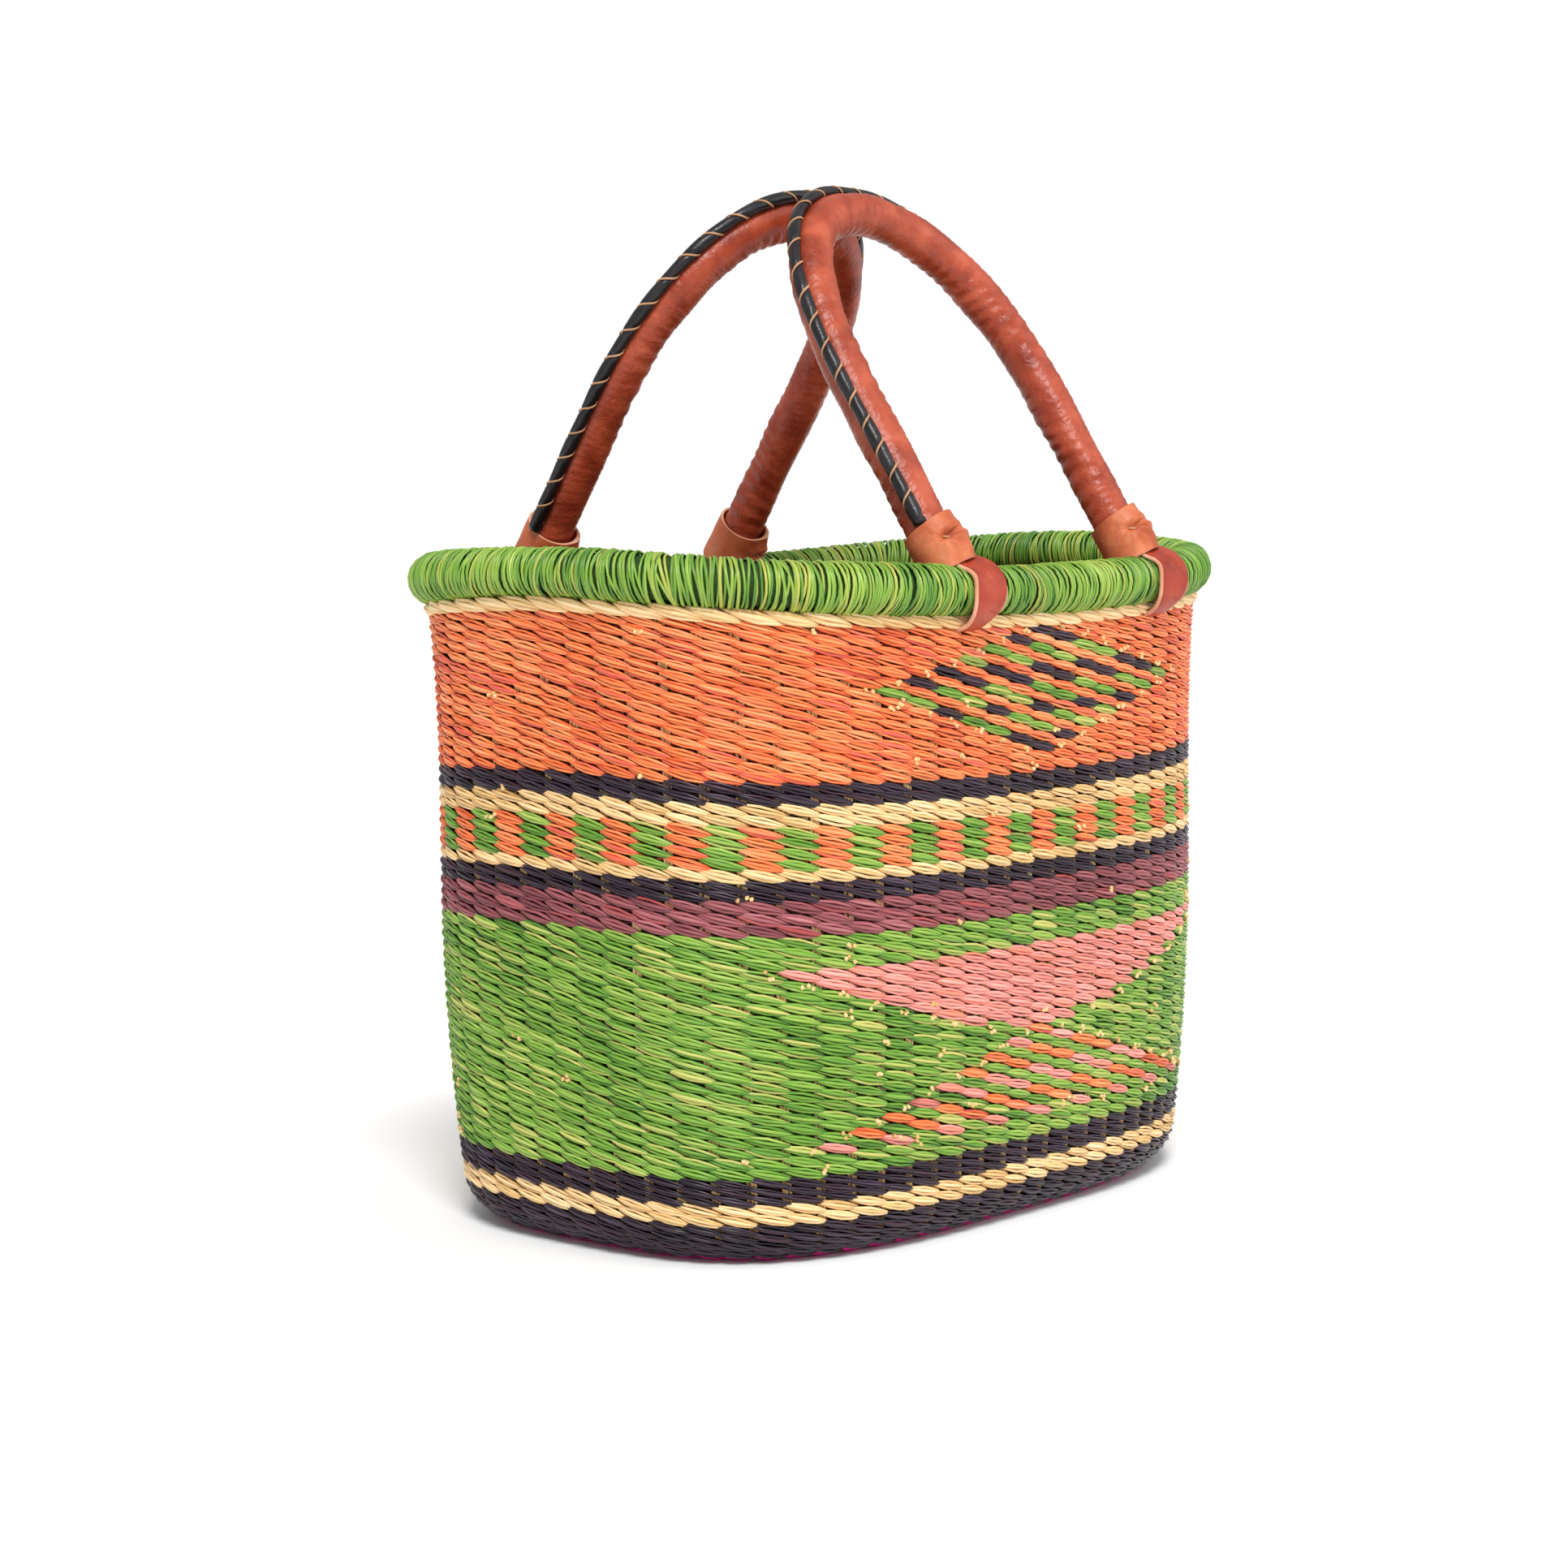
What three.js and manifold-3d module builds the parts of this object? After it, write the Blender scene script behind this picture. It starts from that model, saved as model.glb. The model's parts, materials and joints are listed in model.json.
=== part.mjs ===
// Oval woven market basket with a wrapped rim and two swinging leather-covered handles.
// Millimetres, +Z up. The origin is the centre of the underside, X runs along the basket's
// length and -Y faces the side with the woven picture.

import * as THREE from 'three';
import { mergeVertices } from 'three/addons/utils/BufferGeometryUtils.js';
import Module from 'manifold-3d';

// ---------------------------------------------------------------- driving dimensions

// Plan of the woven wall: a superellipse through its outer face.
const HALF_LENGTH = 185.6;
const HALF_WIDTH = 125.5;
const PLAN_POWER = 3.17;
const PLAN_COLUMNS = 36;

// The wall narrows towards the foot, flares a little at the top and rises at both ends.
const TAPER_HEIGHT = 150;
const TAPER_LENGTH = 11.7;
const TAPER_WIDTH = 6.1;
const FLARE_HEIGHT = 200;
const FLARE_LENGTH = 5;
const FLARE_WIDTH = 0.4;
const SADDLE = 5.8;
const SADDLE_POWER = 1.5;
const FOOT_RADIUS = 20;

// Clear gap between pieces that lie against each other.
const GAP = 0.3;

// The weave in its thickness, from the outside: coloured strands, stakes, inner strands.
const STRAND_THICKNESS = 1.4;
const STAKE_THICKNESS = 1.6;
const WALL_THICKNESS = 2 * STRAND_THICKNESS + STAKE_THICKNESS + 2 * GAP;

// Where one dyed band gives way to the next, measured up the wall.
const MAGENTA_TOP = 5;
const AUBERGINE_FOOT_TOP = 18;
const CREAM_FOOT_TOP = 27;
const AUBERGINE_LOWER_TOP = 38;
const GREEN_TOP = 141;
const PLUM_TOP = 156;
const AUBERGINE_MIDDLE_TOP = 164;
const CREAM_MIDDLE_TOP = 169;
const CHECKER_TOP = 187;
const CREAM_UPPER_TOP = 196;
const AUBERGINE_UPPER_TOP = 205;
const ORANGE_TOP = 272;
const WEAVE_TOP = 276;

// Rim: a straw hoop inside a wrapped sleeve that is open along its underside.
const RIM_RADIUS = 11;
const RIM_WRAP_THICKNESS = 2.9;
const RIM_WRAP_OPENING = 8.95;
const RIM_ARC_STEPS = 9;
const RIM_SECTION_SIDES = 8;

// Handles: a bent straw core in a leather cover with a piped, laced seam on its back.
// shift moves a handle's feet along the rim; sway leans its crown to one side.
const HANDLES = [
  { prefix: 'front', facing: -1, halfSpan: 70.5, shift: 16, sway: -7 },
  { prefix: 'back', facing: 1, halfSpan: 67.5, shift: -8, sway: 9 },
];
const HANDLE_REACH = 197;
const HANDLE_CROWN = 97;
const CROWN_POWER = 2.2;
const HANDLE_TOP_SPACING = 30;
const HANDLE_STEPS = 24;
const COVER_RADIUS = 9.4;
const COVER_THICKNESS = 2.2;
const COVER_SIDES = 10;
const CORE_SIDES = 6;
const CORE_CLEARANCE = 1;
const PIPING_RADIUS = 3.2;
const PIPING_SIDES = 6;
const LACE_RADIUS = 0.8;
const LACE_CLEARANCE = 0.8;
const LACE_PITCH = 17;
const LACE_SIDES = 4;
const CUFF_LENGTH = 29;
const CUFF_THICKNESS = 2;

// Straps: leather loops that turn round the rim and hold the handles' ends.
const STRAP_WIDTH = 15.5;
const STRAP_THICKNESS = 3.1;
const STRAP_CLEARANCE = 1.5;
const STRAP_DROP = 2;
const STRAP_SIDES = 20;
const TONGUE_WIDTH = 11;
const TONGUE_THICKNESS = 3;
const TONGUE_LENGTH = 21;

// ---------------------------------------------------------------- worked out from them

const WALL_MIDDLE = WALL_THICKNESS / 2;
const RIM_HEIGHT = WEAVE_TOP + RIM_RADIUS;
const RIM_HOLLOW_RADIUS = RIM_RADIUS - RIM_WRAP_THICKNESS;
const COVER_BORE_RADIUS = COVER_RADIUS - COVER_THICKNESS;
const STRAP_INNER_RADIUS = RIM_RADIUS + STRAP_DROP + STRAP_CLEARANCE;
const STRAP_OUTER_RADIUS = STRAP_INNER_RADIUS + STRAP_THICKNESS;
const COVER_START = STRAP_OUTER_RADIUS + 2 * GAP;
const CORE_START = STRAP_OUTER_RADIUS + TONGUE_LENGTH + GAP;
const SWAY_START = COVER_START + CUFF_LENGTH;

// ---------------------------------------------------------------- solids

const wasm = await Module();
wasm.setup();

function bare(geometry) {
  geometry.deleteAttribute('normal');
  geometry.deleteAttribute('uv');
  return mergeVertices(geometry, 1e-3);
}

function toSolid(geometry) {
  const merged = bare(geometry);
  const index = merged.index.array;
  const kept = [];
  for (let i = 0; i < index.length; i += 3) {
    const [a, b, c] = [index[i], index[i + 1], index[i + 2]];
    if (a !== b && b !== c && c !== a) {
      kept.push(a, b, c);
    }
  }
  const vertProperties = new Float32Array(merged.attributes.position.array);
  return new wasm.Manifold(new wasm.Mesh({ numProp: 3, vertProperties, triVerts: new Uint32Array(kept) }));
}

function toGeometry(solid) {
  const mesh = solid.getMesh();
  const geometry = new THREE.BufferGeometry();
  geometry.setAttribute('position', new THREE.BufferAttribute(new Float32Array(mesh.vertProperties), 3));
  geometry.setIndex(new THREE.BufferAttribute(new Uint32Array(mesh.triVerts), 1));
  geometry.computeVertexNormals();
  return geometry;
}

function part(name, geometry, color, roughness) {
  const material = new THREE.MeshStandardMaterial({ color, roughness, metalness: 0 });
  const mesh = new THREE.Mesh(geometry, material);
  mesh.name = name;
  return mesh;
}

// ---------------------------------------------------------------- the basket's form

class Oval extends THREE.Curve {
  constructor(halfLength, halfWidth, power) {
    super();
    this.halfLength = halfLength;
    this.halfWidth = halfWidth;
    this.power = power;
    this.arcLengthDivisions = 2400;
  }

  getPoint(t, target = new THREE.Vector3()) {
    const angle = 2 * Math.PI * t;
    const along = Math.cos(angle);
    const across = Math.sin(angle);
    const x = this.halfLength * Math.sign(along) * Math.abs(along) ** (2 / this.power);
    const y = this.halfWidth * Math.sign(across) * Math.abs(across) ** (2 / this.power);
    return target.set(x, y, 0);
  }

  outwardAt(point) {
    const slopeX = Math.sign(point.x) * Math.abs(point.x / this.halfLength) ** (this.power - 1) / this.halfLength;
    const slopeY = Math.sign(point.y) * Math.abs(point.y / this.halfWidth) ** (this.power - 1) / this.halfWidth;
    return new THREE.Vector2(slopeX, slopeY).normalize();
  }

  widthAt(x) {
    return this.halfWidth * (1 - Math.abs(x / this.halfLength) ** this.power) ** (1 / this.power);
  }
}

const plan = new Oval(HALF_LENGTH, HALF_WIDTH, PLAN_POWER);

// Upright columns at equal steps round the plan, each with its place and outward direction.
const columns = [];
for (let i = 0; i < PLAN_COLUMNS; i++) {
  const point = plan.getPointAt(i / PLAN_COLUMNS);
  columns.push({ point, outward: plan.outwardAt(point) });
}

function saddleRise(x, y, height) {
  const turn = Math.atan2(y / HALF_WIDTH, x / HALF_LENGTH);
  const rise = (Math.min(height, WEAVE_TOP) / WEAVE_TOP) ** SADDLE_POWER;
  return SADDLE * rise * Math.cos(2 * turn);
}

function halfSizesAt(height) {
  const formed = Math.min(height, WEAVE_TOP);
  const taper = Math.max(0, (TAPER_HEIGHT - formed) / TAPER_HEIGHT) ** 2;
  const flare = Math.max(0, (formed - FLARE_HEIGHT) / (WEAVE_TOP - FLARE_HEIGHT)) ** 2;
  const halfLength = HALF_LENGTH - TAPER_LENGTH * taper + FLARE_LENGTH * flare;
  const halfWidth = HALF_WIDTH - TAPER_WIDTH * taper + FLARE_WIDTH * flare;
  return { halfLength, halfWidth };
}

// A point of the basket: which column, how far in from the outer face, and how high.
function formedPoint(column, inset, height) {
  const { halfLength, halfWidth } = halfSizesAt(height);
  const { point, outward } = columns[column];
  const x = point.x * halfLength / HALF_LENGTH - inset * outward.x;
  const y = point.y * halfWidth / HALF_WIDTH - inset * outward.y;
  return new THREE.Vector3(x, y, height + saddleRise(point.x, point.y, height));
}

// A ring round the basket: a section turned on a lathe and then pushed out to the oval plan.
const TURNED_RADIUS = 400;

function ovalRing(section) {
  const outline = section.map(([inset, height]) => new THREE.Vector2(TURNED_RADIUS - inset, height));
  outline.push(outline[0].clone());
  const geometry = new THREE.LatheGeometry(outline, PLAN_COLUMNS);
  const position = geometry.attributes.position;
  for (let i = 0; i < position.count; i++) {
    const x = position.getX(i);
    const z = position.getZ(i);
    const turn = Math.atan2(x, z) / (2 * Math.PI);
    const column = (Math.round(turn * PLAN_COLUMNS) + PLAN_COLUMNS) % PLAN_COLUMNS;
    const formed = formedPoint(column, TURNED_RADIUS - Math.hypot(x, z), position.getY(i));
    position.setXYZ(i, formed.x, formed.y, formed.z);
  }
  return toSolid(geometry);
}

// The section of one layer of the wall between two heights; below FOOT_RADIUS it rounds under.
function layerPoint(height, depth) {
  if (height >= FOOT_RADIUS) {
    return [depth, height];
  }
  const lean = Math.acos((FOOT_RADIUS - height) / FOOT_RADIUS);
  const radius = FOOT_RADIUS - depth;
  return [FOOT_RADIUS - radius * Math.sin(lean), FOOT_RADIUS - radius * Math.cos(lean)];
}

function layer(heights, outerDepth, thickness) {
  const outer = heights.map((height) => layerPoint(height, outerDepth));
  const inner = heights.map((height) => layerPoint(height, outerDepth + thickness));
  return ovalRing([...outer, ...inner.reverse()]);
}

function steps(from, to, count) {
  return Array.from({ length: count + 1 }, (_, i) => from + (to - from) * i / count);
}

// ---------------------------------------------------------------- where the handles turn

const rimSizes = halfSizesAt(WEAVE_TOP);
const rimPlan = new Oval(rimSizes.halfLength - WALL_MIDDLE, rimSizes.halfWidth - WALL_MIDDLE, PLAN_POWER);

// The centre of a strap's loop, a little under the middle of the rim.
function strapCentre(x, facing) {
  const y = facing * rimPlan.widthAt(x);
  return new THREE.Vector3(x, y, RIM_HEIGHT + saddleRise(x, y, WEAVE_TOP) - STRAP_DROP);
}

// A handle's hinge line runs through its two straps.
function hingeOf({ facing, halfSpan, shift }) {
  const left = strapCentre(shift - halfSpan, facing);
  const right = strapCentre(shift + halfSpan, facing);
  return { left, right, middle: left.clone().lerp(right, 0.5), halfSpan: left.distanceTo(right) / 2 };
}

// Openings through the weave under the rim, one for each strap.
function cutForStraps(solid) {
  let cut = solid;
  for (const handle of HANDLES) {
    const { left, right } = hingeOf(handle);
    for (const centre of [left, right]) {
      const floor = centre.z - STRAP_OUTER_RADIUS - 2 * GAP;
      const height = WEAVE_TOP + SADDLE - floor;
      const box = new THREE.BoxGeometry(STRAP_WIDTH + 6 * GAP, 2 * STRAP_OUTER_RADIUS, height);
      box.translate(centre.x, centre.y, floor + height / 2);
      cut = cut.subtract(toSolid(box));
    }
  }
  return cut;
}

// ---------------------------------------------------------------- base and wall

function makeBase() {
  const { halfLength, halfWidth } = halfSizesAt(0);
  const inset = FOOT_RADIUS + GAP;
  const outline = columns.map(({ point, outward }) => new THREE.Vector2(
    point.x * halfLength / HALF_LENGTH - inset * outward.x,
    point.y * halfWidth / HALF_WIDTH - inset * outward.y,
  ));
  return bare(new THREE.ExtrudeGeometry(new THREE.Shape(outline), {
    depth: WALL_THICKNESS,
    bevelEnabled: false,
  }));
}

// Each dyed band: name, top of the band, colour. The first starts under the rounded foot.
const BANDS = [
  ['band_magenta_edge', MAGENTA_TOP, 0xb0205e],
  ['band_aubergine_foot', AUBERGINE_FOOT_TOP, 0x3a2a38],
  ['band_cream_foot', CREAM_FOOT_TOP, 0xe3c27e],
  ['band_aubergine_lower', AUBERGINE_LOWER_TOP, 0x3a2a38],
  ['band_green', GREEN_TOP, 0x7a9a3c],
  ['band_plum', PLUM_TOP, 0x7c3f46],
  ['band_aubergine_middle', AUBERGINE_MIDDLE_TOP, 0x3a2a38],
  ['band_cream_middle', CREAM_MIDDLE_TOP, 0xe3c27e],
  ['band_checker', CHECKER_TOP, 0xc08a3c],
  ['band_cream_upper', CREAM_UPPER_TOP, 0xe3c27e],
  ['band_aubergine_upper', AUBERGINE_UPPER_TOP, 0x3a2a38],
  ['band_orange', ORANGE_TOP, 0xe8703c],
];
const BAND_START = 0.1;

// The wall bends at these heights, so every layer that passes one bends there with the others.
const BENDS = [
  ...[0.15, 0.45, 1].map((share) => share * FOOT_RADIUS),
  ...steps(FOOT_RADIUS, TAPER_HEIGHT, 3).slice(1),
  ...steps(FLARE_HEIGHT, ORANGE_TOP, 3).slice(0, -1),
];

function heightsBetween(bottom, top) {
  return [bottom, ...BENDS.filter((height) => height > bottom && height < top), top];
}

function makeBands() {
  const bands = [];
  let bottom = BAND_START;
  for (const [name, top, color] of BANDS) {
    let solid = layer(heightsBetween(bottom, top - GAP), 0, STRAND_THICKNESS);
    if (top === ORANGE_TOP) {
      solid = cutForStraps(solid);
    }
    bands.push(part(name, toGeometry(solid), color, 0.7));
    bottom = top;
  }
  return bands;
}

function makeWall() {
  const heights = heightsBetween(BAND_START, ORANGE_TOP - GAP);
  const stakes = cutForStraps(layer(heights, STRAND_THICKNESS + GAP, STAKE_THICKNESS));
  const lining = cutForStraps(layer(heights, WALL_THICKNESS - STRAND_THICKNESS, STRAND_THICKNESS));
  const course = layer([ORANGE_TOP, WEAVE_TOP - GAP], 0, WALL_THICKNESS);
  return [
    part('stake_cage', toGeometry(stakes), 0xd9bf86, 0.75),
    part('inner_weave', toGeometry(lining), 0xc9ab6c, 0.75),
    part('cream_rim_course', toGeometry(course), 0xe8cf92, 0.7),
  ];
}

// ---------------------------------------------------------------- rim

function rimArc(radius, from, to, count) {
  return steps(from, to, count).map((angle) => [
    WALL_MIDDLE - radius * Math.sin(angle),
    RIM_HEIGHT - radius * Math.cos(angle),
  ]);
}

function makeRim() {
  const start = Math.asin(RIM_WRAP_OPENING / 2 / RIM_RADIUS);
  const end = 2 * Math.PI - start;
  const outer = rimArc(RIM_RADIUS, start, end, RIM_ARC_STEPS);
  const inner = rimArc(RIM_HOLLOW_RADIUS, start, end, RIM_ARC_STEPS);
  const wrap = ovalRing([...outer, ...inner.reverse()]);
  const flat = Math.cos(Math.PI / RIM_ARC_STEPS);
  const hoop = ovalRing(rimArc(RIM_HOLLOW_RADIUS * flat - GAP, 0, 2 * Math.PI, RIM_SECTION_SIDES).slice(0, -1));
  return [
    part('rim_wrap', toGeometry(wrap), 0x6f9a3a, 0.6),
    part('rim_hoop', toGeometry(hoop), 0xc9ab6c, 0.8),
  ];
}

// ---------------------------------------------------------------- handles

// The arch in its own plane: X across the hand, Z up from the hinge. Straight legs, oval crown.
class Arch extends THREE.Curve {
  constructor(handle, start, outside) {
    super();
    this.start = start;
    this.halfSpan = handle.halfSpan + outside;
    this.sway = handle.sway;
    this.spring = HANDLE_REACH - HANDLE_CROWN;
    this.crown = HANDLE_CROWN + outside;
    this.arcLengthDivisions = 1200;
  }

  getPoint(t, target = new THREE.Vector3()) {
    const legShare = 0.2;
    const legLength = this.spring - this.start;
    let x = this.halfSpan * Math.sign(t - 0.5);
    let z = this.start + legLength * Math.min(t, 1 - t) / legShare;
    if (t > legShare && t < 1 - legShare) {
      const angle = Math.PI * (t - legShare) / (1 - 2 * legShare);
      const across = -Math.cos(angle);
      x = this.halfSpan * Math.sign(across) * Math.abs(across) ** (2 / CROWN_POWER);
      z = this.spring + this.crown * Math.sin(angle) ** (2 / CROWN_POWER);
    }
    const swayed = Math.max(0, (z - SWAY_START) / (HANDLE_REACH - SWAY_START));
    return target.set(x + this.sway * swayed ** 2, 0, z);
  }
}

function roundSection(radius, sides) {
  const shape = new THREE.Shape();
  for (const [i, angle] of steps(0, 2 * Math.PI, sides).slice(0, -1).entries()) {
    const [x, y] = [radius * Math.cos(angle), radius * Math.sin(angle)];
    if (i === 0) {
      shape.moveTo(x, y);
    } else {
      shape.lineTo(x, y);
    }
  }
  shape.closePath();
  return shape;
}

function tube(path, section, count) {
  return bare(new THREE.ExtrudeGeometry(section, { extrudePath: path, steps: count }));
}

function sleeveSection(outerRadius, innerRadius, sides) {
  const section = roundSection(outerRadius, sides);
  section.holes.push(roundSection(innerRadius, sides));
  return section;
}

// The thong crosses over the piping and back, keeping clear of it and of the cover.
function laceCurve(handle) {
  const seat = COVER_RADIUS + GAP + PIPING_RADIUS;
  const aside = PIPING_RADIUS + 2 * LACE_RADIUS + LACE_CLEARANCE;
  const over = seat + PIPING_RADIUS + 2 * LACE_RADIUS + LACE_CLEARANCE;
  const shoulder = seat + 0.72 * PIPING_RADIUS;
  const low = seat - 0.85 * PIPING_RADIUS;
  const ring = [[-aside, low], [-aside, shoulder], [0, over], [aside, shoulder], [aside, low]];
  const back = [[aside, shoulder], [0, over], [-aside, shoulder], [-aside, low]];
  const centre = new Arch(handle, SWAY_START, 0);
  const crossings = Math.floor(centre.getLength() / LACE_PITCH / 2);
  const route = [...ring];
  for (let i = 1; i < crossings; i++) {
    route.push(...back, ...ring.slice(1));
  }
  const points = route.map(([sideways, outside], i) => {
    const u = (i + 1) / (route.length + 1);
    const place = centre.getPointAt(u);
    const along = centre.getTangentAt(u);
    const outward = new THREE.Vector3(-along.z, 0, along.x);
    return place.addScaledVector(outward, outside).add(new THREE.Vector3(0, sideways, 0));
  });
  const path = new THREE.CurvePath();
  for (let i = 1; i < points.length; i++) {
    path.add(new THREE.LineCurve3(points[i - 1], points[i]));
  }
  path.getSpacedPoints = () => points;
  path.getPointAt = (u, target = new THREE.Vector3()) => {
    const place = u * (points.length - 1);
    const before = Math.min(Math.floor(place), points.length - 2);
    return target.lerpVectors(points[before], points[before + 1], place - before);
  };
  return { path, count: points.length - 1 };
}

function makeStrap() {
  const ring = new THREE.Shape().absarc(0, 0, STRAP_OUTER_RADIUS, 0, 2 * Math.PI);
  ring.holes.push(new THREE.Path().absarc(0, 0, STRAP_INNER_RADIUS, 0, 2 * Math.PI));
  const loop = new THREE.ExtrudeGeometry(ring, {
    depth: STRAP_WIDTH,
    bevelEnabled: false,
    curveSegments: STRAP_SIDES,
  });
  loop.translate(0, 0, -STRAP_WIDTH / 2);
  loop.rotateY(Math.PI / 2);
  const root = STRAP_OUTER_RADIUS - STRAP_THICKNESS / 2;
  const tongue = new THREE.BoxGeometry(TONGUE_WIDTH, TONGUE_THICKNESS, TONGUE_LENGTH + STRAP_THICKNESS / 2);
  tongue.translate(0, 0, root + (TONGUE_LENGTH + STRAP_THICKNESS / 2) / 2);
  return toGeometry(toSolid(loop).add(toSolid(tongue)));
}

function makeCuff() {
  const bore = (COVER_RADIUS + GAP) / Math.cos(Math.PI / COVER_SIDES);
  const section = sleeveSection(bore + CUFF_THICKNESS, bore, COVER_SIDES);
  const cuff = new THREE.ExtrudeGeometry(section, { depth: CUFF_LENGTH, bevelEnabled: false });
  return bare(cuff.translate(0, 0, COVER_START));
}

function makeHandle({ prefix, facing, halfSpan, shift, sway }) {
  const hinge = hingeOf({ facing, halfSpan, shift });
  const shape = { halfSpan: hinge.halfSpan, sway };
  const coreRadius = COVER_BORE_RADIUS * Math.cos(Math.PI / COVER_SIDES) - CORE_CLEARANCE;
  const pipingSeat = COVER_RADIUS + GAP + PIPING_RADIUS;
  const lace = laceCurve(shape);
  const coverSection = sleeveSection(COVER_RADIUS, COVER_BORE_RADIUS, COVER_SIDES);
  const cover = tube(new Arch(shape, COVER_START, 0), coverSection, HANDLE_STEPS);
  const core = tube(new Arch(shape, CORE_START, 0), roundSection(coreRadius, CORE_SIDES), HANDLE_STEPS);
  const pipingSection = roundSection(PIPING_RADIUS, PIPING_SIDES);
  const piping = tube(new Arch(shape, SWAY_START + GAP, pipingSeat), pipingSection, HANDLE_STEPS);
  const lacing = tube(lace.path, roundSection(LACE_RADIUS, LACE_SIDES), lace.count);

  const handle = new THREE.Group();
  handle.add(part(`${prefix}_handle_cover`, cover, 0x8a3f2c, 0.45));
  handle.add(part(`${prefix}_handle_core`, core, 0xc9ab6c, 0.8));
  handle.add(part(`${prefix}_handle_piping`, piping, 0x1c1a1c, 0.4));
  handle.add(part(`${prefix}_handle_lacing`, lacing, 0xc98a5c, 0.55));
  for (const [side, name] of [[-1, 'left'], [1, 'right']]) {
    const cuff = part(`${prefix}_handle_cuff_${name}`, makeCuff(), 0xc07a52, 0.55);
    const strap = part(`${prefix}_handle_strap_${name}`, makeStrap(), 0x93442e, 0.5);
    cuff.position.x = side * hinge.halfSpan;
    strap.position.x = side * hinge.halfSpan;
    handle.add(cuff, strap);
  }

  // Stand the arch on its hinge line, then lean it in until its crown meets the other one's.
  const across = hinge.right.clone().sub(hinge.left).normalize();
  const up = new THREE.Vector3(0, 0, 1).projectOnPlane(across).normalize();
  const basis = new THREE.Matrix4().makeBasis(across, up.clone().cross(across), up);
  handle.setRotationFromMatrix(basis);
  const lean = Math.asin((Math.abs(hinge.middle.y) - HANDLE_TOP_SPACING / 2) / HANDLE_REACH);
  handle.rotateX(facing * lean);
  handle.position.copy(hinge.middle);
  return handle;
}

// ---------------------------------------------------------------- the assembly

const basket = new THREE.Group();
basket.add(part('base_weave', makeBase(), 0x8fa050, 0.75));
basket.add(...makeBands());
basket.add(...makeWall());
basket.add(...makeRim());
basket.add(...HANDLES.map(makeHandle));

export default basket;
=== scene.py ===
# %% [markdown]
# # A twined straw market basket
# The object is a soft-cornered oval basket, twined by hand from dyed elephant-grass straw, with a
# fat wrapped rim and two swinging handles in goat leather. Nothing on it is a plain surface: the
# colour, the ribs and even the outline come from thousands of straws. So this lesson builds the
# straws themselves, in bulk, with numpy, and leaves to the materials only what is finer than one.

# %% Open the shared frame
import json
import math

import bpy
import numpy as np
from mathutils import Matrix, Vector


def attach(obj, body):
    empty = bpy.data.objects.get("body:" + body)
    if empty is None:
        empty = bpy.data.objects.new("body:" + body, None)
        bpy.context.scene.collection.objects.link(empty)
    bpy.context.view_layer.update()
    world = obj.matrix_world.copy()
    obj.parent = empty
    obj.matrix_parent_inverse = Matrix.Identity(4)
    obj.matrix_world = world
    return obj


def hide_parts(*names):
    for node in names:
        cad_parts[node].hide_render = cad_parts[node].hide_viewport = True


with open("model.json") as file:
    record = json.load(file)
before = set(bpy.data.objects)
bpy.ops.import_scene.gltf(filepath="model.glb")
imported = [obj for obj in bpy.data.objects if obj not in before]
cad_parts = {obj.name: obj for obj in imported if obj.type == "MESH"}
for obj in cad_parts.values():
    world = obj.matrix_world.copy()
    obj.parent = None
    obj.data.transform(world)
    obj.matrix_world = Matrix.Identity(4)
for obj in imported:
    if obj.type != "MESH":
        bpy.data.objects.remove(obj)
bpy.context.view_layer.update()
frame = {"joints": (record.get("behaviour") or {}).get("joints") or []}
MM = 0.001

# %% [markdown]
# ## The form that the straws follow
# A weaver keeps the form by eye: a rounded oblong plan, walls that open a little from the foot,
# a rim that dips along the sides and rises at the ends. It could be a sculpted mesh, but every
# straw has to know where the wall is, so the form is a function instead: give it a distance round
# the basket, a distance up the wall and a depth into it, and it gives back a point. All sizes are
# millimetres, and turn to metres only when a mesh is made.

# %% The plan, a superellipse measured round from the middle of the front
HALF_LENGTH, HALF_WIDTH, PLAN_POWER = 185.6, 125.5, 3.17


def superellipse(half_length, half_width, power, count=14401):
    """Points of a closed oval with their distance round it, from the middle of the front."""
    turn = np.linspace(-0.5 * np.pi, 1.5 * np.pi, count)
    c, s = np.cos(turn), np.sin(turn)
    x = half_length * np.sign(c) * np.abs(c) ** (2 / power)
    y = half_width * np.sign(s) * np.abs(s) ** (2 / power)
    run = np.concatenate([[0], np.cumsum(np.hypot(np.diff(x), np.diff(y)))])
    return x, y, run


def outward(x, y, half_length, half_width, power):
    """The direction that faces out of the oval at a point on it."""
    nx = np.sign(x) * np.abs(x / half_length) ** (power - 1) / half_length
    ny = np.sign(y) * np.abs(y / half_width) ** (power - 1) / half_width
    size = np.maximum(np.hypot(nx, ny), 1e-12)
    return nx / size, ny / size


def around(run, oval, shape):
    """Points of an oval at distances round it, and the directions out of it there."""
    oval_x, oval_y, oval_run = oval
    run = np.mod(run, oval_run[-1])
    x, y = np.interp(run, oval_run, oval_x), np.interp(run, oval_run, oval_y)
    return x, y, *outward(x, y, *shape)


PLAN_SHAPE = (HALF_LENGTH, HALF_WIDTH, PLAN_POWER)
plan = superellipse(*PLAN_SHAPE)
GIRTH = plan[2][-1]
print("once round the basket, mm:", round(GIRTH, 1))

# %% The wall: foot, taper, flare and saddle
FOOT_RADIUS, WEAVE_TOP = 20, 276
TAPER_HEIGHT, TAPER_LENGTH, TAPER_WIDTH = 150, 11.7, 6.1
FLARE_HEIGHT, FLARE_LENGTH, FLARE_WIDTH = 200, 5, 0.4
SADDLE, SADDLE_POWER = 5.8, 1.5


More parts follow.
